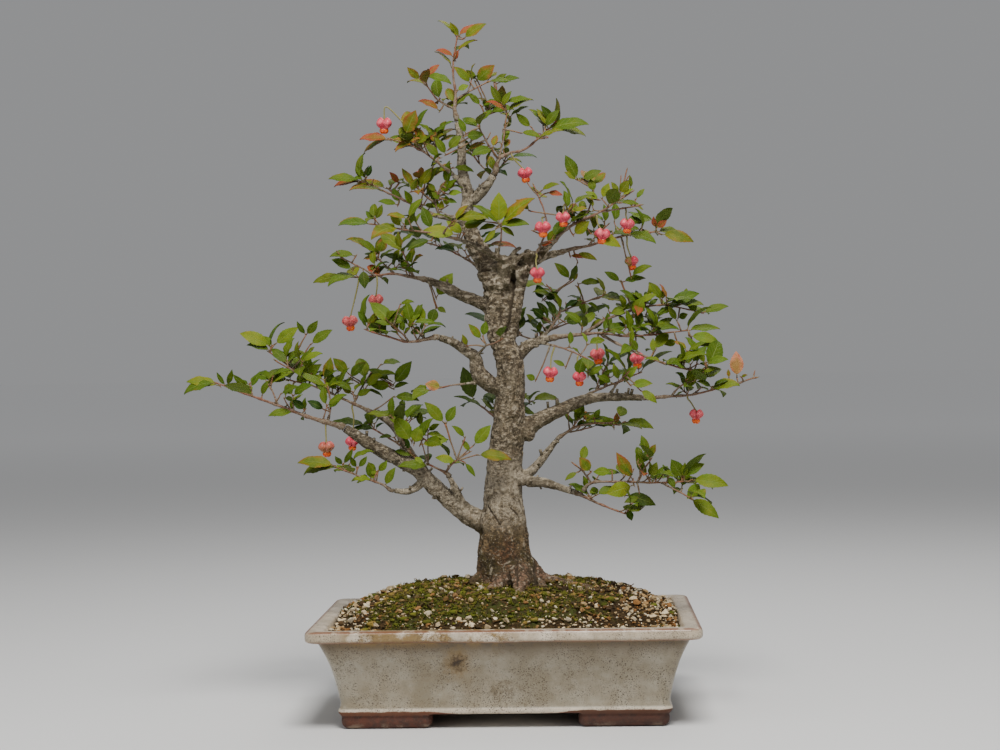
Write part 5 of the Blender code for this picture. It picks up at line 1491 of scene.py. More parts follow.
@dataclass
class SoilMound:
    """The soil: a dark bed, loose grains on it and moss between them."""

    pumice_count: int = 1350
    grit_count: int = 3600
    moss_tufts: int = 5200
    litter_count: int = 300
    trunk_clearance: float = 21.0
    columns: int = 160
    rows: int = 118
    drops: tuple[float, float] = (-24.0, -23.5)
    draws: random.Random = field(default_factory=lambda: random.Random("soil"))

    def height(self, x: float, y: float) -> float:
        """Return the height of the bed over a point of the tray, mm.

        Args:
            x: Place along the tray.
            y: Place across the tray.

        Returns:
            The height.
        """
        out = min(1.0, abs(x / INNER_HALF_LENGTH) ** 2.9 + abs(y / INNER_HALF_WIDTH) ** 2.6)
        base = SOIL_EDGE_HEIGHT + (SOIL_CROWN_HEIGHT - SOIL_EDGE_HEIGHT) * (1.0 - out) ** 0.82
        base += 1.8 * ramp(math.hypot(x, y), 24.0, 42.0) * ramp(y, -30.0, 5.0)
        place = Vector((x, y, 0.0))
        return base - 1.6 + noise.noise(place / 15.0) * 2.6 + noise.noise(place / 6.0) * 2.0

    def greenness(self, x: float, y: float) -> float:
        """Return how mossy the soil is there, from 0 to 1.

        Args:
            x: Place along the tray.
            y: Place across the tray.

        Returns:
            The share.
        """
        value = 1.05 - 0.9 * ramp(abs(x + 8.0) / INNER_HALF_LENGTH, 0.45, 0.95) - 0.30 * ramp(x, 10.0, 100.0)
        value -= 0.65 * ramp(abs(y) / INNER_HALF_WIDTH, 0.82, 0.97)
        patches = noise.noise(Vector((x, y, 7.0)) / 13.0) * 0.85
        value += patches + noise.noise(Vector((x, y, 3.0)) / 5.0) * 0.45
        return ramp(value, 0.38, 0.92)

    def build_bed(self) -> Piece:
        """Build the bed: a fine grid raised by the mound's formula, with walls down to the tray's floor.

        Returns:
            The finished piece.
        """
        deselect()
        bpy.ops.mesh.primitive_grid_add(x_subdivisions=self.columns, y_subdivisions=self.rows, size=1.0)
        bed = bpy.context.object
        bed.name = "soil_bed"
        bpy.ops.object.mode_set(mode="EDIT")
        bpy.ops.mesh.select_all(action="SELECT")
        bpy.ops.transform.resize(value=(2 * INNER_HALF_LENGTH - 1.0, 2 * INNER_HALF_WIDTH - 1.0, 1.0),
                                 center_override=(0, 0, 0))
        bpy.ops.mesh.select_all(action="DESELECT")
        bpy.ops.mesh.select_non_manifold()
        for drop, shrink in zip(self.drops, ((0.93, 0.905, 1.0), (0.925, 0.90, 1.0))):
            bpy.ops.mesh.extrude_region_move(TRANSFORM_OT_translate={"value": (0, 0, drop)})
            bpy.ops.transform.resize(value=shrink, center_override=(0, 0, 0))
        bpy.ops.mesh.edge_face_add()
        bpy.ops.mesh.select_all(action="SELECT")
        bpy.ops.mesh.normals_make_consistent(inside=False)
        bpy.ops.object.mode_set(mode="OBJECT")
        shades = []
        for vertex in bed.data.vertices:
            x, y, drop = vertex.co
            level = self.height(x, y) if drop > -1.0 else SOIL_EDGE_HEIGHT - 1.5 + drop
            vertex.co = spot((x, y, level))
            shades += [self.greenness(x, y), 0.0, 0.0, 1.0]
        store_tint(bed.data, shades)
        bed.data.shade_smooth()
        return settle(bed, SoilBedding().material(), slot="soil", stands_for=["soil"])

    def grain_shapes(self, subdivisions: int, kinds: int) -> list[Shape]:
        """Model a few angular grains from icospheres with moved and flattened points.

        Args:
            subdivisions: How fine the grains are.
            kinds: How many different grains.

        Returns:
            Points, about 1 across, and faces of each grain.
        """
        shapes = []
        for _kind in range(kinds):
            deselect()
            bpy.ops.mesh.primitive_ico_sphere_add(subdivisions=subdivisions, radius=0.5)
            points, faces = take_template(bpy.context.object)
            offset = Vector([self.draws.uniform(-9, 9) for _axis in range(3)])
            for number, point in enumerate(points):
                lump = 1.0 + 0.50 * noise.noise(Vector(point) * 2.6 + offset)
                points[number] = point * lump
            for _cut in range(7):
                normal = np.array([self.draws.gauss(0, 1) for _axis in range(3)])
                normal /= np.linalg.norm(normal)
                over = np.maximum(points @ normal - self.draws.uniform(0.20, 0.36), 0.0)
                points = points - over[:, None] * normal
            shapes.append((points, faces))
        return shapes

    def place_on_bed(self) -> tuple[float, float]:
        """Draw a place on the bed that is clear of the trunk.

        Returns:
            Its places along and across the tray, mm.
        """
        while True:
            x = self.draws.uniform(-INNER_HALF_LENGTH + 2.5, INNER_HALF_LENGTH - 2.5)
            y = self.draws.uniform(-INNER_HALF_WIDTH + 2.5, INNER_HALF_WIDTH - 2.5)
            if math.hypot(x - 2, y) > self.trunk_clearance:
                return x, y

    def grain_colour(self, x: float, y: float) -> tuple[float, float, float, float]:
        """Draw a grain's colour: paler to the edges, more orange at the right front.

        Args:
            x: Place along the tray.
            y: Place across the tray.

        Returns:
            The tint of the grain.
        """
        rim = max(abs(x) / INNER_HALF_LENGTH, abs(y) / INNER_HALF_WIDTH)
        pale = 0.16 + 0.50 * ramp(rim, 0.55, 0.97)
        draw = self.draws.random()
        if draw < pale:
            choice = self.draws.uniform(0.72, 1.0)
        elif draw < pale + (0.42 if x > 20 and y < 10 else 0.30):
            choice = self.draws.uniform(0.38, 0.68)
        else:
            choice = self.draws.uniform(0.0, 0.32)
        return choice, self.draws.uniform(0.35, 1.0), self.greenness(x, y) * self.draws.random(), 1.0

    def strew(self, name: str, count: int, sizes: tuple[float, float], subdivisions: int, avoid_moss: float,
              sink: float) -> Piece:
        """Strew grains over the bed, larger ones apart from each other.

        Args:
            name: The piece's name.
            count: How many grains.
            sizes: Smallest and largest size, mm.
            subdivisions: How fine each grain is.
            avoid_moss: Share of grains that moss keeps away.
            sink: How deep a grain sits, in its own heights.

        Returns:
            The finished piece.
        """
        heap = Heap()
        shapes = self.grain_shapes(subdivisions, 7)
        taken: dict[tuple[int, int], list[Triple]] = {}
        cell = sizes[1]
        placed = 0
        tries = 0
        while placed < count and tries < count * 6:
            tries += 1
            x, y = self.place_on_bed()
            if self.draws.random() < self.greenness(x, y) * avoid_moss:
                continue
            size = blend(*sizes, self.draws.random() ** 2.2)
            home = (int(x // cell), int(y // cell))
            around = [other for i in (-1, 0, 1) for j in (-1, 0, 1)
                      for other in taken.get((home[0] + i, home[1] + j), [])]
            if any(math.hypot(x - a, y - b) < (size + other) * 0.40 for a, b, other in around):
                continue
            taken.setdefault(home, []).append((x, y, size))
            points, faces = self.draws.choice(shapes)
            stretch = np.array([size * self.draws.uniform(0.85, 1.25), size,
                                size * self.draws.uniform(0.6, 0.9)])
            turn = tumble(self.draws.uniform(0, 6.3), self.draws.uniform(-0.6, 0.6), "X")
            copy = (points * stretch) @ turn
            copy += np.array((x, y, self.height(x, y) + stretch[2] * (0.5 - sink)))
            heap.add(copy, faces, self.grain_colour(x, y))
            placed += 1
        return settle(heap.pour(name, smooth=False), SoilGrain().material(), slot="soil")

    def build_moss(self) -> Piece:
        """Build the moss: small cushions and short leaflets that stand on the bed.

        Returns:
            The finished piece.
        """
        heap = Heap()
        deselect()
        bpy.ops.mesh.primitive_cone_add(vertices=3, radius1=0.5, radius2=0.0, depth=1.0,
                                        location=(0, 0, 0.5))
        spike, spike_faces = take_template(bpy.context.object)
        deselect()
        bpy.ops.mesh.primitive_ico_sphere_add(subdivisions=2, radius=0.5)
        cushion, cushion_faces = take_template(bpy.context.object)
        cushion *= np.array([[1.0 + 0.55 * noise.noise(Vector(point) * 3.1)] for point in cushion])
        for _tuft in range(self.moss_tufts):
            x, y = self.place_on_bed()
            green = self.greenness(x, y)
            if self.draws.random() > green + 0.03:
                continue
            ground = self.height(x, y)
            patch = 0.5 + 1.3 * noise.noise(Vector((x, y, 11.0)) / 11.0)
            bright = held(self.draws.uniform(0.1, 1.0) * 0.6 + patch * 0.4)
            dry = 1.0 if self.draws.random() < 0.3 else 0.2
            large = self.draws.random() < 0.035
            wide = self.draws.uniform(5.0, 8.5) if large else self.draws.uniform(1.6, 4.4)
            if large or self.draws.random() < 0.28:
                copy = cushion * np.array((wide, wide, wide * 0.6)) + np.array((x, y, ground + 0.2))
                rise = np.clip((cushion[:, 2] + 0.2) * 1.2, 0.0, 0.7)
                heap.add(copy, cushion_faces, shades_of(rise, bright, dry, 1.0))
            for _leaflet in range(5):
                lean = Vector((self.draws.gauss(0, 0.45), self.draws.gauss(0, 0.45), 1.0)).normalized()
                tall = self.draws.uniform(1.2, 3.0)
                copy = (spike * np.array((0.95, 0.6, tall))) @ lean_to(lean)
                copy += np.array((x + self.draws.gauss(0, wide * 0.35), y + self.draws.gauss(0, wide * 0.35),
                                  ground - 0.3 + wide * 0.2))
                rise = np.clip(spike[:, 2], 0.0, 1.0)
                heap.add(copy, spike_faces, shades_of(rise, bright, dry, 1.0))
        return settle(heap.pour("moss"), Moss().material(), slot="soil")

    def build_litter(self) -> Piece:
        """Build the litter: dry leaf shreds, bark chips and bits of twig that lie on the soil.

        Returns:
            The finished piece.
        """
        heap = Heap()
        deselect()
        bpy.ops.mesh.primitive_cube_add(size=1.0)
        piece = bpy.context.object
        bpy.ops.object.mode_set(mode="EDIT")
        bpy.ops.mesh.subdivide(number_cuts=1)
        bpy.ops.object.mode_set(mode="OBJECT")
        chip, chip_faces = take_template(piece)
        for _chip in range(self.litter_count):
            x, y = self.place_on_bed()
            size = np.array((self.draws.uniform(2.5, 8.0), self.draws.uniform(0.7, 2.4),
                             self.draws.uniform(0.3, 0.7)))
            copy = chip * size
            copy[:, 2] += np.sin(copy[:, 0] * self.draws.uniform(0.2, 0.6)) * 0.7
            copy[:, 1] *= 1.0 - 0.5 * (chip[:, 0] * 2) ** 2
            copy = copy @ tumble(self.draws.uniform(0, 6.3), self.draws.uniform(-0.35, 0.35), "Y")
            copy += np.array((x, y, self.height(x, y) + self.draws.uniform(1.2, 2.6)))
            heap.add(copy, chip_faces,
                     (self.draws.uniform(0.0, 0.5), self.draws.uniform(0.5, 1.0), 0.3, 1.0))
        return settle(heap.pour("litter"), SoilGrain().material(), slot="soil")

    def build(self) -> None:
        """Build the bed, the grains, the moss and the litter."""
        self.build_bed()
        self.strew("pumice", self.pumice_count, (2.4, 6.8), 2, 0.70, 0.20)
        self.strew("grit", self.grit_count, (1.4, 3.0), 1, 0.30, 0.10)
        self.build_moss()
        self.build_litter()


@dataclass
class TreeWood:
    """Roots, trunk and bare limbs in one skin of bark, with short spurs on the limbs."""

    voxel: float = 1.0
    step: float = 3.0
    spur_spacing: float = 15.0
    draws: random.Random = field(default_factory=lambda: random.Random("wood"))

    def root_line(self, angle: float, reach: float,
                  radius: float) -> list[tuple[float, float, float, float]]:
        """Return the centre line and radii of one root, from inside the trunk into the soil.

        Args:
            angle: Direction round the trunk, degrees.
            reach: How far out it dives, mm.
            radius: Its thickness, mm.

        Returns:
            Points with radii, mm.
        """
        turn = math.radians(angle)
        steps = [(8.0, 124.0, radius * 0.95, 0.0), (19.0, 109.0, radius * 1.05, 0.0),
                 (30.0, 102.5, radius * 0.74, 0.08), (reach, 101.0 - 0.06 * reach, radius * 0.42, -0.06),
                 (reach + 14.0, 88.0, radius * 0.25, 0.05)]
        return [(2.0 + out * math.cos(turn + sway), out * math.sin(turn + sway), height, width)
                for out, height, width, sway in steps]

    def lines(self) -> list[list[Vector]]:
        """Return every limb and root as a close line of points with radii.

        Returns:
            The lines, mm.
        """
        knotty = []
        limbs = [[(x, y, z, slimmed(radius * SLIMMER.get(name, 1.0))) for x, y, z, radius in line]
                 for name, line in LIMBS.items()]
        far = list(LIMBS).index("low_left")
        limbs[far] = [(x, y, z, radius * (1.0 + 0.3 * ramp(-x, 55.0, 110.0)))
                      for x, y, z, radius in limbs[far]]
        for number, line in enumerate(limbs + FILLETS + [self.root_line(*root) for root in ROOTS]):
            close = smooth_line(line, self.step)
            for index, point in enumerate(close):
                swell = noise.noise(Vector((number * 7.3, index * self.step / 9.0, 0.0)))
                point.w = max(0.75, point.w * (1.0 + (0.13 - 0.09 * ramp(point.w, 7.0, 14.0)) * swell))
            knotty.append(close)
        return knotty

    def join_shapes(self, lines: list[list[Vector]]) -> Piece:
        """Make tubes of the lines, add the burls and join everything.

        Args:
            lines: Close lines of points with radii.

        Returns:
            One object of crossing shapes.
        """
        curve = bpy.data.curves.new("tree_wood", "CURVE")
        curve.dimensions = "3D"
        curve.bevel_depth = MM
        curve.bevel_resolution = 5
        curve.use_fill_caps = True
        for line in lines:
            spline = curve.splines.new("POLY")
            spline.points.add(len(line) - 1)
            for knot, point in zip(spline.points, line):
                knot.co = (*spot(point), 1.0)
                knot.radius = point.w
        pick(put("tree_wood", curve))
        bpy.ops.object.convert(target="MESH")
        wood = bpy.context.object
        knobs = []
        for x, y, z, radius in BURLS:
            deselect()
            bpy.ops.mesh.primitive_ico_sphere_add(subdivisions=3, radius=radius * MM,
                                                  location=spot((x, y, z)))
            knobs.append(bpy.context.object)
        pick(wood, *knobs)
        bpy.ops.object.join()
        bpy.ops.object.transform_apply(location=True, rotation=True, scale=True)
        return wood

    def roughen(self, wood: Piece, lines: list[list[Vector]]) -> None:
        """Give the skin the relief of old bark, less on thin limbs, and store the girth as its tint.

        Args:
            wood: The joined and remeshed wood.
            lines: Close lines of points with radii.
        """
        girths = [point for line in lines for point in line]
        tree = tree_of([point.xyz for point in girths])
        mesh = wood.data
        normals = [vertex.normal.copy() for vertex in mesh.vertices]
        shades = []
        for vertex, normal in zip(mesh.vertices, normals):
            point = vertex.co / MM - PLANT_SHIFT
            girth = max(girths[number].w for _co, number, _distance in tree.find_n(point, 3))
            depth = min(1.0, girth / 12.0)
            lumps = noise.fractal(Vector((point.x, point.y, point.z * 0.62)) / 15.0, 1.0, 2.0, 3) * 0.8
            blisters = noise.fractal(point / 3.4, 1.0, 2.0, 2) * 0.65
            upper = ramp(point.z, 265.0, 300.0)
            wrinkles = noise.noise(Vector((point.x / 8.0, point.y / 8.0, point.z / 2.2)))
            wrinkles *= 0.15 + 0.75 * upper
            cracks = abs(noise.noise(Vector((point.x, point.y, point.z * 0.5)) / 4.2))
            groove = -0.6 * ramp(cracks, 0.10, 0.0)
            hole = -1.0 * ramp(noise.voronoi(point / 13.0)[0][0], 0.15, 0.06)
            small = blisters + wrinkles + groove + hole
            grain = noise.noise(point / 1.6) * 0.24
            groove_depth, crease = self.groove_at(point)
            vertex.co += normal * (depth * (lumps + small) + grain * (0.4 + 0.6 * depth) - groove_depth) * MM
            # How deep the point lies in the relief and the grooves, which the bark material darkens, partly
            # as painted shade.
            cavity = held(0.30 - (small + grain) * 0.75 + crease)
            shades += [min(1.0, girth / 16.0), cavity, 0.0, 1.0]
        store_tint(mesh, shades)

    @staticmethod
    def groove_at(point: Vector) -> tuple[float, float]:
        """Return how deep the grooves cut a point of the skin, in mm, and how dark they are painted, 0 to 1,
        partly as painted shade.

        Args:
            point: The point, mm.

        Returns:
            The depth and the darkness.
        """
        if point.y > -5.0:
            return 0.0, 0.0
        cut, dark = 0.0, 0.0
        wander = noise.noise(point / 3.0) * 0.8
        for depth, path in GROOVES:
            for (x, top, wide), (x_end, bottom, wide_end) in zip(path, path[1:]):
                if bottom <= point.z <= top:
                    share = (top - point.z) / (top - bottom)
                    near = ramp(abs(point.x + wander - blend(x, x_end, share)), blend(wide, wide_end, share),
                                0.0)
                    cut = max(cut, near * depth)
                    dark = max(dark, near)
        return cut, dark

    def spurs(self, wood: Piece) -> Piece:
        """Add short stubs and buds along the limbs, joined to the wood's piece.

        Args:
            wood: The finished skin.

        Returns:
            The joined piece.
        """
        heap = Heap()
        for name, line in LIMBS.items():
            if name in ("crown", "right_fork"):
                continue
            whole = length_of([Vector(point[:3]) for point in line])
            for _spur in range(int(whole / self.spur_spacing) + 1):
                share = self.draws.uniform(0.3, 0.95)
                foot, direction = along(line, share)
                radius = slimmed(blend(line[0][3], line[-1][3], share))
                out = direction.orthogonal().normalized()
                out.rotate(Matrix.Rotation(self.draws.uniform(0, 6.3), 3, direction))
                out = (out + direction * 0.3 + UP * 0.5).normalized()
                reach = self.draws.uniform(1.5, 4.5)
                start = foot + out * radius * 0.5
                bend = start + out * (radius * 0.5 + reach * 0.6)
                tip = bend + (out + UP * 0.6).normalized() * reach * 0.4
                width = min(radius * 0.5, self.draws.uniform(0.9, 1.7))
                heap.add(*stem([start, bend, tip], [width, width * 0.8, width * 0.9], 6),
                         (0.12, 0.35, 0.0, 1.0))
        pick(wood, heap.pour("spurs"))
        bpy.ops.object.join()
        return wood

    def build(self) -> Piece:
        """Build the whole wood.

        Returns:
            The finished piece.
        """
        lines = self.lines()
        wood = self.join_shapes(lines)
        apply_modifier(wood, "REMESH", mode="VOXEL", voxel_size=self.voxel * MM, use_smooth_shade=True)
        apply_modifier(wood, "SMOOTH", factor=0.5, iterations=3)
        self.roughen(wood, lines)
        wood = self.spurs(wood)
        return settle(wood, LivingBark().material(), slot="bark", stands_for=["wood"])


@dataclass
class LeafForm:
    """One leaf: its petiole's foot, the way it grows and faces, its size in mm, and its colour."""

    root: Vector
    heading: Vector
    facing: Vector
    length: float
    width: float
    petiole: float
    arch: float
    fold: float
    tint: Triple
    wave: float = 0.0
    phase: float = 0.0

    def tip(self) -> Vector:
        """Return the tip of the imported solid's blade, which is bent in three steps.

        Returns:
            The tip, mm.
        """
        place = self.root + self.heading * self.petiole
        for share, step in BLADE_STEPS:
            turn = self.arch * share
            place += (self.heading * math.cos(turn) - self.facing * math.sin(turn)) * self.length * step
        return place


def packed_leaf(branch: str, twig: int, pair: int, side: int, attempt: int) -> LeafForm:
    """Lay out one leaf of a packed branch by the same draws as its source.

    Args:
        branch: The branch's name.
        twig: The twig's number.
        pair: The pair's number.
        side: Which leaf of the pair.
        attempt: Which try.

    Returns:
        The leaf.
    """
    _radius, pairs, length, _points = SPRAYS[branch][twig]
    line = twig_lines(branch)[twig][0]
    whole = length_of(line)
    share = 1.0 - LAST_PAIR_FROM_TIP / whole - PAIR_SPREAD * (pairs - 1 - pair) / pairs
    root, direction = along(line, share)
    seed = f"{branch}-{twig}-{pair}-{side}-{attempt}"
    draws = random.Random(seed)
    across, above = sides_of(direction)
    angle = math.radians(90 * (pair % 2) + 180 * side + draws.uniform(-30, 30) + LEAF_TRY_TURN * attempt)
    outward = across * math.cos(angle) + above * math.sin(angle)
    heading = direction * draws.uniform(0.45, 0.8) + outward * 0.8 + UP * draws.uniform(0.15, 0.5)
    if heading.z < -0.1:
        heading.z = 0.1
    heading.normalize()
    facing = UP + outward * draws.uniform(-0.25, 0.45) + across * draws.uniform(-0.3, 0.3)
    if heading.z > 0.8:
        facing = direction * -0.5 + UP * 0.3 - outward
    facing = squared(facing, heading)
    shape = random.Random(seed)
    size = length * shape.uniform(0.86, 1.14)
    width = size * shape.uniform(0.42, 0.5)
    petiole = shape.uniform(3.4, 5.0)
    arch = math.radians(shape.uniform(18, 62))
    fold = math.radians(shape.uniform(12, 34))
    return LeafForm(root, heading, facing, size, width, petiole, arch, fold, GREEN.value,
                    shape.uniform(0.0, 0.12), shape.uniform(0, 6.3))


def twig_lines(name: str) -> list[tuple[list[Vector], list[float]]]:
    """Return the centre lines and radii of a leafy branch, the main twig straight off its limb's end.

    Args:
        name: The branch's name.

    Returns:
        A line of points, mm, and the radius at each, for every twig.
    """
    before, end = (Vector(point[:3]) for point in LIMBS[name][-2:])
    lead = (end - before).normalized()
    lines = []
    for number, (radius, _pairs, _length, points) in enumerate(SPRAYS[name]):
        line = [Vector(point) for point in points]
        if number == 0:
            line = [end + lead * GAP, end + lead * SEAT_LEAD] + line
        last = len(line) - 1
        lines.append((line, [blend(radius, TWIG_TIP_RADIUS, step / last) for step in range(last + 1)]))
    return lines


@dataclass(frozen=True)
class Viewpoint:
    """The camera's place and aim, found from the tray's corners in the photograph."""

    place: Triple = (57.3, -1677.5, 282.6)
    yaw: float = math.radians(2.053)
    pitch: float = math.radians(-0.451)
    roll: float = math.radians(-0.914)
    lens: float = 75.0
    sensor: float = 36.0

    def axes(self) -> tuple[Vector, Vector, Vector]:
        """Return the directions to the right, up and forward.

        Returns:
            Three unit vectors.
        """
        forward = Vector((-math.sin(self.yaw) * math.cos(self.pitch),
                          math.cos(self.yaw) * math.cos(self.pitch), math.sin(self.pitch)))
        level = Vector((math.cos(self.yaw), math.sin(self.yaw), 0.0))
        above = level.cross(forward)
        right = level * math.cos(self.roll) + above * math.sin(self.roll)
        return right, right.cross(forward), forward

    def to_pixel(self, point: Vector) -> tuple[float, float]:
        """Return where a point, mm, shows in the photograph.

        Args:
            point: The point.

        Returns:
            The pixel, counted from the top left.
        """
        right, above, forward = self.axes()
        away = point - Vector(self.place)
        pixels = self.lens / self.sensor * PHOTO_SIZE[0] / away.dot(forward)
        return PHOTO_SIZE[0] / 2 + away.dot(right) * pixels, PHOTO_SIZE[1] / 2 - away.dot(above) * pixels

    def at_depth(self, pixel: Sequence[float], depth: float) -> Vector:
        """Return the point, mm, that shows at a pixel and lies at a given depth of the tray's frame.

        Args:
            pixel: The pixel.
            depth: Its place along Y, mm.

        Returns:
            The point.
        """
        right, above, forward = self.axes()
        pixels = self.lens / self.sensor * PHOTO_SIZE[0]
        ray = (forward + right * ((pixel[0] - PHOTO_SIZE[0] / 2) / pixels)
               - above * ((pixel[1] - PHOTO_SIZE[1] / 2) / pixels))
        start = Vector(self.place)
        return start + ray * ((depth - start.y) / ray.y)

    def set_up(self) -> None:
        """Make the scene's camera."""
        data = bpy.data.cameras.new("photograph_view")
        data.lens = self.lens
        data.sensor_width = self.sensor
        data.clip_start = 0.05
        data.clip_end = 50.0
        camera = put("photograph_view", data)
        right, above, forward = self.axes()
        turn = Matrix((right, above, -forward)).transposed().to_4x4()
        camera.matrix_world = Matrix.Translation(spot(self.place)) @ turn
        bpy.context.scene.camera = camera


def outwards(point: Vector) -> Vector:
    """Return the level direction from the trunk to a point, mm."""
    away = Vector((point.x, point.y, 0.0))
    return away.normalized() if away.length > 1.0 else Vector((0.0, -1.0, 0.0))


def opened(facing: Vector, heading: Vector) -> Vector:
    """Turn a leaf's face square to its heading, and forwards where it would be seen edge on.

    Args:
        facing: Where it looks.
        heading: The way it grows.

    Returns:
        The new direction it looks.
    """
    face = squared(facing, heading)
    return squared(face + Vector((0.0, -0.5, 0.0)), heading) if abs(face.y) < 0.35 else face


def bright_spots() -> list[Triple]:
    """List the pixels and depths of the fruits, then of the bright leaves, which stay in full view.

    Returns:
        Pixels and depth of each, those of the bare ends first.
    """
    view = Viewpoint()
    spots = [(*view.to_pixel(Vector(fruit[-1])), fruit[-1][1]) for fruit in FRUITS]
    shown = [leaf for leaves in SHOWN_LEAVES.values() for leaf in leaves]
    shown.sort(key=lambda leaf: leaf[-1] is not PINK)
    for x, y, tip_x, tip_y, _face, _ratio, kind in shown:
        if kind in (PINK, FRESH, RED):
            spots.append(((x + tip_x) / 2, (y + tip_y) / 2, FRONT_DEPTH))
    return BARE_ENDS + spots


BRIGHT_SPOTS = bright_spots()
PINK_LEAVES = sum(leaf[-1] is PINK for leaves in SHOWN_LEAVES.values() for leaf in leaves)
CLEAR_SPOTS = BRIGHT_SPOTS[:len(BARE_ENDS) + len(FRUITS) + PINK_LEAVES]


@dataclass
class Foliage:
    """Shapes that every leafy branch copies: one blade and one bud."""

    rows: int = 16
    teeth_depth: float = 0.035
    upper: Shape | None = None
    lower: Shape | None = None
    bud: Shape | None = None

    def model_blade(self, columns: int) -> Shape:
        """Model a flat blade of length 1 from a grid: rows sized to the outline, margin toothed, tip merged.

        Args:
            columns: Number of faces across.

        Returns:
            Its points and faces.
        """
        deselect()
        bpy.ops.mesh.primitive_grid_add(x_subdivisions=columns, y_subdivisions=self.rows, size=1.0,
                                        location=(0.0, 0.5, 0.0))
        piece = bpy.context.object
        bpy.ops.object.transform_apply(location=True, rotation=False, scale=False)
        for vertex in piece.data.vertices:
            share = vertex.co.y
            reach = math.sin(math.pi * share ** 0.82) ** 0.85 if 0.0 < share < 1.0 else 0.0
            reach = max(reach * (1.0 - 0.35 * share ** 6), 0.035 * (1.0 - share))
            sign = 1 if round(share * self.rows) % 2 else -1
            tooth = 1.0 + self.teeth_depth * sign * (abs(vertex.co.x) > 0.4)
            vertex.co.x *= reach * tooth
        bpy.ops.object.mode_set(mode="EDIT")
        bpy.ops.mesh.select_all(action="SELECT")
        bpy.ops.mesh.remove_doubles(threshold=1e-5)
        bpy.ops.mesh.normals_make_consistent(inside=False)
        bpy.ops.object.mode_set(mode="OBJECT")
        return take_template(piece)

    def model(self) -> None:
        """Model the blade's upper skin, its coarser lower skin, and a pointed bud from a small sphere."""
        self.upper = self.model_blade(4)
        self.lower = self.model_blade(2)
        deselect()
        bpy.ops.mesh.primitive_uv_sphere_add(segments=6, ring_count=5, radius=0.5)
        piece = bpy.context.object
        bpy.ops.object.mode_set(mode="EDIT")
        bpy.ops.mesh.select_all(action="DESELECT")
        bpy.ops.object.mode_set(mode="OBJECT")
        for vertex in piece.data.vertices:
            vertex.select = vertex.co.z > 0.45
        bpy.ops.object.mode_set(mode="EDIT")
        bpy.ops.transform.translate(value=(0, 0, 0.45))
        bpy.ops.object.mode_set(mode="OBJECT")
        self.bud = take_template(piece)

    def add_leaf(self, heap: Heap, leaf: LeafForm, petiole_red: float) -> None:
        """Lay a copy of the blade on a leaf's bent surface, with its lower skin and its petiole.

        Args:
            heap: The branch's heap.
            leaf: The leaf.
            petiole_red: How red its petiole is.
        """
        for skin, (flat, faces) in enumerate((self.upper, self.lower)):
            chart = np.stack([0.5 + flat[:, 0] / np.maximum(2 * self.half_width(flat[:, 1]), 0.02),
                              flat[:, 1]], 1)
            if skin:
                faces = [face[::-1] for face in faces]
            heap.add(self.bent(leaf, flat, -0.16 if skin else 0.16), faces, (*leaf.tint, skin), 0, chart)
        end = leaf.root + leaf.heading * (leaf.petiole + leaf.length * 0.05)
        sag = leaf.root.lerp(end, 0.5) - leaf.facing * leaf.petiole * 0.08
        heap.add(*stem([leaf.root, sag, end], [0.55, 0.42, 0.3], 5), (0.0, 0.9, petiole_red, 1.0), 1)

    @staticmethod
    def bent(leaf: LeafForm, flat: np.ndarray, thick: float) -> np.ndarray:
        """Bend a flat blade: arched along its length, folded at the midrib, cupped and waved.

        Args:
            leaf: The leaf.
            flat: The flat blade's points.
            thick: How far the skin lies over the middle of the blade, mm.

        Returns:
            The skin's points, mm.
        """
        out = flat[:, 0] * leaf.width
        share = flat[:, 1]
        heading = np.array(leaf.heading)
        facing = np.array(leaf.facing)
        side = np.cross(heading, facing)
        grid = np.linspace(0.0, 1.0, 41)
        turn = leaf.arch * (0.05 + 1.0 * grid + 0.3 * np.maximum(grid - 0.75, 0.0) * 4.0 * grid)
        step = leaf.length / 40
        run = np.concatenate([[0.0], np.cumsum(np.cos(turn[:-1]) * step)])
        drop = np.concatenate([[0.0], np.cumsum(np.sin(turn[:-1]) * step)])
        along_leaf = np.interp(share, grid, run)[:, None]
        below = np.interp(share, grid, drop)[:, None]
        angle = np.interp(share, grid, turn)[:, None]
        normal = facing * np.cos(angle) + heading * np.sin(angle)
        half = np.maximum(leaf.width * 0.5, 0.1)
        rim = np.abs(out) / half
        fold = leaf.fold * (1.0 - 0.35 * rim)
        lift = np.abs(out) * np.sin(fold) - 0.16 * half * rim ** 2
        lift += leaf.wave * half * rim ** 2 * np.sin(share * 14.0 + leaf.phase)
        lift += 0.05 * half * rim * np.abs(np.sin(share * math.pi * 7.0)) * (1.0 - rim)
        base = np.array(leaf.root + leaf.heading * leaf.petiole)
        middle = base + heading * along_leaf - facing * below + side * (out * np.cos(fold))[:, None]
        return middle + normal * (lift + thick * (1.0 - 0.8 * rim))[:, None]

    @staticmethod
    def half_width(share: np.ndarray) -> np.ndarray:
        """Return the blade template's half width at a share of its length."""
        inside = np.clip(share, 1e-4, 1.0 - 1e-4)
        reach = np.sin(np.pi * inside ** 0.82) ** 0.85 * (1.0 - 0.35 * inside ** 6)
        return 0.5 * np.maximum(reach, 0.035 * (1.0 - inside))

    def add_bud(self, heap: Heap, place: Vector, direction: Vector, size: float, red: float) -> None:
        """Add a pointed bud."""
        points = (self.bud[0] * np.array((size * 0.55, size * 0.55, size))) @ lean_to(direction)
        heap.add(points + np.array(place + direction * size * 0.3), self.bud[1], (0.25, 0.8, red, 1.0), 1)


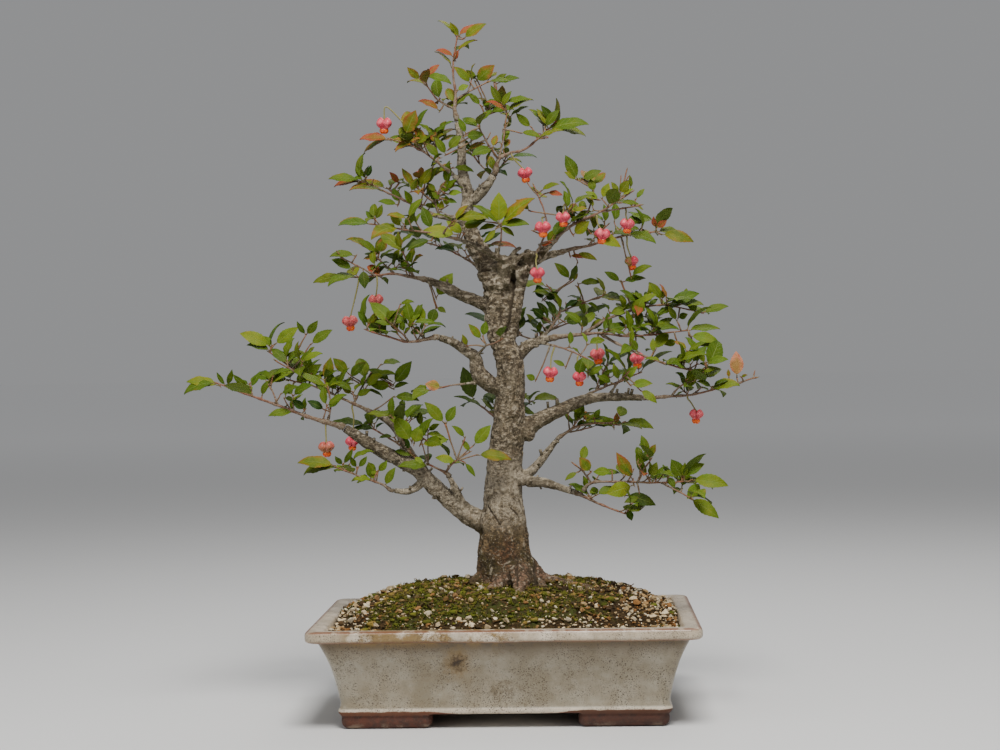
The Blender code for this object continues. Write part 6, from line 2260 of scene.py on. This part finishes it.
@dataclass
class LeafyBranch:
    """One leafy branch: its twigs, its packed leaves, the leaves that stand out, and short side shoots."""

    name: str
    foliage: Foliage
    view: Viewpoint
    leaf_finish: Material
    twig_finish: Material
    heap: Heap = field(default_factory=Heap)
    shoot_spacing: float = 15.0
    match_reach: float = 0.1
    trunk_half_width: float = 17.0
    trunk_back: float = 8.0
    trunk_top: float = 300.0

    def __post_init__(self) -> None:
        """Start the branch's own draws."""
        self.draws = random.Random("branch-" + self.name)
        self.lines = twig_lines(self.name)
        for radius, points in MORE_TWIGS.get(self.name, []):
            self.lines.append(([Vector(point) for point in points],
                               [radius * 0.94 ** n for n in range(len(points))]))
        self.bearing = {0} | {fruit[1] for fruit in FRUITS if fruit[0] == self.name}

    def hue(self, height: float) -> Triple:
        """Draw a leaf's colour; more leaves have turned towards the top, and those at the back are deeper
        green as painted shade.

        Args:
            height: The leaf's height over the ground, mm.

        Returns:
            Yellowness, brightness and redness.
        """
        turning = 0.04 + 0.30 * ramp(height, 330.0, 480.0)
        draw = self.draws.random()
        if draw < turning * 0.25:
            kind = RED
        elif draw < turning:
            kind = TURNING
        elif draw < turning + 0.18:
            kind = OLIVE if height > 330 else LIGHT
        # Painted shade: leaves of the branches at the back are mostly deep green.
        elif self.name.startswith(("back", "mid_right_back")) and draw < 0.75:
            kind = DEEP
        else:
            kind = GREEN
        return self.varied(kind)

    def varied(self, kind: Hue) -> Triple:
        """Vary a colour a little from leaf to leaf."""
        return tuple(held(value + self.draws.uniform(-0.16, 0.10)) for value in kind.value)

    def add_twig(self, line: Sequence[Vector], radii: Sequence[float], sides: int, age: tuple[float, float],
                 red: float) -> None:
        """Add one twig along a smooth line, swollen at its nodes.

        Args:
            line: The centre line, mm.
            radii: The radius at each point.
            sides: Number of sides.
            age: Age at the foot and at the tip.
            red: Redness at the tip.
        """
        close = smooth_line([(*point, radius) for point, radius in zip(line, radii)], 2.6)
        count = len(close)
        widths = []
        for number, point in enumerate(close):
            node = math.exp(-(((number % 5) - 2) / 0.7) ** 2)
            widths.append(max(0.35, slimmed(point.w, number / count) * (0.9 + 0.32 * node)))
            if 0 < number < count - 1:
                wander = noise.noise_vector(point.xyz / 7.0) * 0.35
                point.xyz = point.xyz + wander
        points, faces = stem([point.xyz.copy() for point in close], widths, sides)
        share = np.repeat(np.linspace(0.0, 1.0, count), sides)
        self.heap.add(points, faces, shades_of(blend(*age, share), 0.8, share * red, 1.0), 1)

    def add_packed_leaves(self) -> int:
        """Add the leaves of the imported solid, each found again by its tip.

        Returns:
            How many were found.
        """
        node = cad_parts["spray_" + self.name]
        tree = tree_of([vertex.co / MM - PLANT_SHIFT for vertex in node.data.vertices])
        found = 0
        for twig, (_radius, pairs, _length, _points) in enumerate(SPRAYS[self.name]):
            leaves = []
            for pair in range(pairs):
                for side in (0, 1):
                    for attempt in range(LEAF_TRIES):
                        leaf = packed_leaf(self.name, twig, pair, side, attempt)
                        if tree.find(leaf.tip())[2] < self.match_reach:
                            found += 1
                            leaf.tint = self.hue(leaf.root.z)
                            turned = leaf.facing + outwards(leaf.root) * 0.45 + Vector((0.0, -0.4, 0.0))
                            leaf.facing = opened(turned, leaf.heading)
                            leaf.width *= 1.08
                            if not self.covers(leaf, CLEAR_SPOTS, CLEAR_REACH):
                                leaves.append(leaf)
                            break
            if len(leaves) < 2 and self.cut_back(twig):
                for leaf in leaves:
                    leaf.root = self.lines[twig][0][-1]
            for leaf in leaves:
                self.hang(leaf)
        return found

    def hang(self, leaf: LeafForm) -> None:
        """Add a leaf, unless it would stand at a spot that stays open.

        Args:
            leaf: The leaf.
        """
        petiole_red = self.draws.uniform(0.1, 0.6)
        if not self.covers(leaf, OPEN_SPOTS, CLEAR_REACH):
            self.foliage.add_leaf(self.heap, leaf, petiole_red)

    def cut_back(self, number: int) -> bool:
        """Cut a twig back if it carries no fruit and no other twig.

        Args:
            number: The twig's number.

        Returns:
            True if it was cut back.
        """
        line, radii = self.lines[number]
        others = [other for twig, (other, _radii) in enumerate(self.lines) if twig != number]
        carries = any((along(line, share)[0] - other[0]).length < 4.0
                      for share in (0.5, 0.6, 0.7, 0.8, 0.9, 1.0) for other in others)
        if number in self.bearing or carries:
            return False
        self.lines[number] = ([line[0], along(line, 0.2)[0], along(line, 0.4)[0]],
                              [radii[0], radii[0] * 0.9, radii[0] * 0.75])
        LOG.info("%s: twig %d cut back", self.name, number)
        return True

    def covers(self, leaf: LeafForm, spots: Sequence[Triple], reach: float) -> bool:
        """Tell whether a leaf would hide a fruit or a bright leaf, or the front of the lower trunk.

        Args:
            leaf: The leaf.
            spots: Pixels and depths that stay clear.
            reach: How near its middle may come, in pixels.

        Returns:
            True if it would.
        """
        middle = leaf.root + leaf.heading * (leaf.petiole + leaf.length * 0.5)
        if (abs(middle.x) < self.trunk_half_width and middle.y < self.trunk_back
                and middle.z < self.trunk_top):
            return True
        x, y = self.view.to_pixel(middle)
        return any(math.hypot(x - a, y - b) < reach and middle.y < depth + 4.0 for a, b, depth in spots)

    def nearest(self, pixel: Sequence[float]) -> tuple[Vector, float]:
        """Find the place on the branch's twigs that shows nearest to a pixel of the photograph.

        Args:
            pixel: The pixel.

        Returns:
            The place and its distance in pixels.
        """
        best, gap = None, 1e9
        for line, _radii in self.lines:
            for before, after in zip(line, line[1:]):
                for number in range(9):
                    point = before.lerp(after, number / 8)
                    x, y = self.view.to_pixel(point)
                    away = math.hypot(x - pixel[0], y - pixel[1])
                    if away < gap:
                        best, gap = point, away
        return best, gap

    def add_shown_leaves(self) -> None:
        """Add the leaves that stand out, each on its twig or on a side shoot of its own."""
        for x, y, tip_x, tip_y, face, ratio, kind in SHOWN_LEAVES.get(self.name, []):
            foot_pixel = (x, y)
            seat, gap = self.nearest(foot_pixel)
            lean = self.draws.uniform(-5.0, 2.0)
            foot = self.view.at_depth(foot_pixel, seat.y + (lean * 0.4 if gap > 4 else 0.0))
            tip = self.view.at_depth((tip_x, tip_y), foot.y + lean)
            if (foot - seat).length > 1.2:
                bend = seat.lerp(foot, 0.5) + Vector((0, 0, self.draws.uniform(-1.0, 1.0)))
                self.add_twig([seat, bend, foot], [1.1, 0.95, 0.85], 6, (0.7, 0.25), 0.8)
                self.foliage.add_bud(self.heap, foot, (foot - bend).normalized(), 1.8, 0.6)
            chord = tip - foot
            petiole = min(4.0, chord.length * 0.14)
            reach = chord.normalized()
            facing = squared(Vector(face.value), reach)
            lying = face in (Face.UP, Face.HALF)
            arch = math.radians(self.draws.uniform(*((24, 52) if lying else (12, 30))))
            heading = reach * math.cos(arch * 0.55) + facing * math.sin(arch * 0.55)
            upper = facing * math.cos(arch * 0.55) - reach * math.sin(arch * 0.55)
            length = (chord.length - petiole) * (1.0 + 0.05 * arch * arch)
            fold = math.radians(self.draws.uniform(*((12, 26) if face is Face.VIEWER else (20, 36))))
            width = min(max(ratio, 0.46 if lying else 0.34), 0.74) * length
            leaf = LeafForm(foot, heading, upper, length, width, petiole, arch, fold, self.varied(kind),
                            self.draws.uniform(0.02, 0.14), self.draws.uniform(0, 6.3))
            self.foliage.add_leaf(self.heap, leaf, self.draws.uniform(0.1, 0.7))

    def add_shoots(self) -> None:
        """Fill the branch with short side shoots that end in one or two pairs of leaves."""
        for number, (line, radii) in enumerate(self.lines):
            for _shoot in range(round(length_of(line) / self.shoot_spacing * FILL.get(self.name, 1.0))):
                share = self.draws.uniform(0.12, 0.9)
                foot, direction = along(line, share)
                out = Vector((self.draws.gauss(0, 0.6), self.draws.gauss(0.25, 0.9),
                              self.draws.gauss(0.55, 0.4)))
                heading = (direction * 0.55 + out).normalized()
                reach = self.draws.uniform(5.0, 14.0)
                bend = foot + heading * reach * 0.5 + Vector((0, 0, self.draws.uniform(-0.8, 0.8)))
                end = bend + (heading + UP * 0.35).normalized() * reach * 0.5
                self.add_twig([foot, bend, end], [1.05, 0.9, 0.8], 5, (0.75, 0.25), 0.8)
                self.foliage.add_bud(self.heap, end, (end - bend).normalized(), 1.7, 0.7)
                spin = self.draws.uniform(0, math.pi)
                for pair in range(self.draws.choice((1, 1, 2))):
                    seat = end if pair == 0 else bend
                    for side in (0, 1):
                        self.add_shoot_leaf(seat, (end - bend).normalized(),
                                            spin + math.pi * side + math.pi / 2 * pair)

    def add_shoot_leaf(self, seat: Vector, direction: Vector, angle: float) -> None:
        """Add one leaf of a side shoot.

        Args:
            seat: Where it grows.
            direction: The shoot's direction.
            angle: Its place round the shoot.
        """
        across, above = sides_of(direction)
        outward = across * math.cos(angle) + above * math.sin(angle)
        heading = direction * self.draws.uniform(0.4, 0.9) + outward * 0.8
        heading = (heading + UP * self.draws.uniform(0.1, 0.5)).normalized()
        facing = UP + outward * self.draws.uniform(-0.3, 0.4) + outwards(seat) * 0.5 + Vector((0, -0.55, 0))
        facing = opened(facing, heading)
        length = self.draws.uniform(9.5, 19.0)
        leaf = LeafForm(seat, heading, facing, length, length * self.draws.uniform(0.46, 0.58),
                        self.draws.uniform(2.0, 3.6), math.radians(self.draws.uniform(22, 62)),
                        math.radians(self.draws.uniform(16, 38)), self.hue(seat.z),
                        self.draws.uniform(0.02, 0.14), self.draws.uniform(0, 6.3))
        if not self.covers(leaf, CLEAR_SPOTS, 12.5) and not self.covers(leaf, BRIGHT_SPOTS, 10.0):
            self.hang(leaf)

    def build(self) -> Piece:
        """Build the branch.

        Returns:
            The finished piece.
        """
        found = self.add_packed_leaves()
        for number, (line, radii) in enumerate(self.lines):
            age = (1.0, 0.45) if number == 0 else (0.9, 0.35)
            self.add_twig(line, radii, 9 if radii[0] > 1.9 else 7, age, 0.8)
            self.foliage.add_bud(self.heap, line[-1], (line[-1] - line[-2]).normalized(), 2.2, 0.6)
        self.add_shown_leaves()
        self.add_shoots()
        LOG.info("%s: %d packed leaves found", self.name, found)
        piece = self.heap.pour("branch_" + self.name)
        return settle(piece, self.leaf_finish, self.twig_finish, slot="leaf",
                      stands_for=["spray_" + self.name])


@dataclass
class SpindleFruit:
    """One fruit: a four-lobed capsule that opens over an orange aril, on a thin stalk."""

    number: int
    branch: str
    twig: int
    share: float
    lift: float
    centre: Triple
    finish: Material
    radius: float = 7.0
    half_height: float = 5.4

    def capsule(self) -> tuple[np.ndarray, list[tuple[int, ...]], np.ndarray]:
        """Model the capsule: a sphere drawn out into four lobes, notched above and open below.

        Returns:
            Points, faces and how deep each point lies in a crease.
        """
        deselect()
        bpy.ops.mesh.primitive_uv_sphere_add(segments=40, ring_count=22, radius=1.0)
        points, faces = take_template(bpy.context.object)
        shaped = np.zeros_like(points)
        crease = np.zeros(len(points))
        for index, (x, y, z) in enumerate(points):
            angle = math.atan2(y, x) - math.pi / 4
            lobe = abs(math.cos(2 * angle)) ** 0.7
            reach = math.hypot(x, y)
            swell = 0.60 + 0.40 * lobe * ramp(reach, 0.0, 0.5)
            top = 0.40 + 0.60 * lobe * ramp(reach, 0.0, 0.6)
            rise = z * self.half_height * (top if z > 0 else 0.85 + 0.15 * lobe)
            narrow = 1.0 - 0.42 * ramp(-z, 0.0, 1.0)
            shaped[index] = (x * self.radius * swell * narrow, y * self.radius * swell * narrow, rise)
            crease[index] = ramp(lobe, 0.42, 0.0) * ramp(reach, 0.15, 0.6)
        return shaped, faces, crease

    def aril(self) -> Shape:
        """Model the aril: two swollen halves side by side that hang under the capsule.

        Returns:
            Its points and faces.
        """
        deselect()
        bpy.ops.mesh.primitive_uv_sphere_add(segments=24, ring_count=14, radius=1.0)
        points, faces = take_template(bpy.context.object)
        split = 0.66 + 0.34 * np.abs(points[:, 0]) ** 0.6
        points = points * np.array((3.5, 3.0, 3.4)) * split[:, None]
        return points + np.array((0.0, 0.0, -5.2)), faces

    def build(self) -> Piece:
        """Build the fruit.

        Returns:
            The finished piece.
        """
        draws = random.Random(f"fruit-{self.number}")
        heap = Heap()
        middle = Vector(self.centre)
        seat, direction = along(twig_lines(self.branch)[self.twig][0], self.share)
        leave = squared(UP if self.lift else -UP, direction)
        start = seat + leave * 0.6
        if self.lift:
            bend = middle + (start - middle).normalized() * 3.4 + Vector((0.0, 0.0, 6.0 + 0.4 * self.lift))
        else:
            sway = Vector((draws.uniform(-1.2, 1.2), draws.uniform(-1.0, 1.0), 0.0))
            bend = start.lerp(middle, 0.4) + sway
        line = smooth_line([start, start + leave * 2.2, bend, middle + Vector((0, 0, 2.2))], 1.8)
        widths = [blend(0.75, 0.5, step / (len(line) - 1)) for step in range(len(line))]
        widths[-1] = 1.1
        widths[-2] = 0.8
        heap.add(*stem(line, widths, 7), (0.0, 0.0, 0.0, 1.0))
        size = draws.uniform(0.93, 1.05)
        turn = tumble(draws.uniform(-0.14, 0.14), draws.uniform(-0.12, 0.12), "Y")
        shaped, faces, crease = self.capsule()
        ripeness = np.full_like(crease, draws.choice((0.0, 0.0, 0.1, 0.2)))
        if self.number == HALF_RIPE:
            ripeness = np.clip(0.5 - shaped[:, 0] * 0.6, 0.0, 0.95)
        elif self.number == DULL:
            ripeness = np.clip(0.45 - shaped[:, 2] * 0.05, 0.0, 0.9)
            crease = np.maximum(crease, 0.45)
        heap.add((shaped * size) @ turn + np.array(middle), faces, shades_of(0.0, crease, ripeness, 0.0))
        shaped, faces = self.aril()
        heap.add((shaped * size) @ turn + np.array(middle), faces, (1.0, 0.0, 0.0, 0.0))
        piece = heap.pour(f"capsule_{self.number:02d}")
        return settle(piece, self.finish, slot="fruit", stands_for=[f"fruit_{self.number:02d}"])


@dataclass
class Studio:
    """Pale floor, pale surroundings and soft lamps."""

    floor_size: float = 60.0
    paper: Triple = (0.70, 0.70, 0.695)

    def build(self) -> None:
        """Lay the floor and hang the lamps."""
        deselect()
        bpy.ops.mesh.primitive_plane_add(size=self.floor_size, location=(0.0, 0.0, 0.0))
        floor = bpy.context.object
        floor.name = "studio_floor"
        use = Recipe("studio_paper")
        away = use.vector("LENGTH", use.place, output="Value")
        use.colour = use.mix(use.fade(away, 1.0, 7.0), self.paper, (0.985, 0.985, 0.985))
        floor.data.materials.append(use.finish(0.9, Specular_IOR_Level=0.0))
        world = bpy.data.worlds.new("studio_air")
        bpy.context.scene.world = world
        world.use_nodes = True
        background = world.node_tree.nodes["Background"]
        background.inputs[0].default_value = (0.92, 0.93, 0.95, 1.0)
        background.inputs[1].default_value = 0.32
        self.lamp("key", (0.15, -0.95, 1.60), 0.6, 38.0, (1.0, 0.98, 0.95))
        self.lamp("fill", (-1.3, -1.1, 0.9), 1.2, 5.0, (0.95, 0.98, 1.0))
        self.lamp("crown", (0.3, 0.9, 1.5), 0.9, 7.0, (1.0, 1.0, 1.0))

    @staticmethod
    def lamp(name: str, place: Triple, size: float, power: float, colour: Triple) -> None:
        """Hang one square soft lamp that looks at the middle of the tree.

        Args:
            name: The lamp's name.
            place: Where it hangs, m.
            size: Its side, m.
            power: Its power, W.
            colour: Its colour.
        """
        data = bpy.data.lights.new(name, "AREA")
        data.size = size
        data.energy = power
        data.color = colour
        item = put(name, data)
        item.location = place
        item.rotation_euler = (Vector((0.0, 0.0, 0.28)) - Vector(place)).to_track_quat("-Z", "Y").to_euler()


def dress_screens() -> None:
    """Give the drain screens their plastic; their shape stays as packed."""
    plastic = NetPlastic().material()
    for name in ("drain_screen_left", "drain_screen_right"):
        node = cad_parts[name]
        node.data.materials.clear()
        node.data.materials.append(plastic)


def main() -> None:
    """Build everything in order: view, studio, tray, soil, wood, branches and fruits."""
    logging.basicConfig(level=logging.INFO, format="%(name)s %(message)s", force=True)
    noise.seed_set(NOISE_SEED)
    view = Viewpoint()
    view.set_up()
    Studio().build()
    GlazedTray().build()
    dress_screens()
    SoilMound().build()
    TreeWood().build()
    foliage = Foliage()
    foliage.model()
    leaf_finish = SpindleLeaf().material()
    twig_finish = YoungTwig().material()
    for name in SPRAYS:
        LeafyBranch(name, foliage, view, leaf_finish, twig_finish).build()
    fruit_finish = FruitSkin().material()
    for number, fruit in enumerate(FRUITS, start=1):
        SpindleFruit(number, *fruit, fruit_finish).build()
    deselect()


if __name__ == "__main__":
    main()
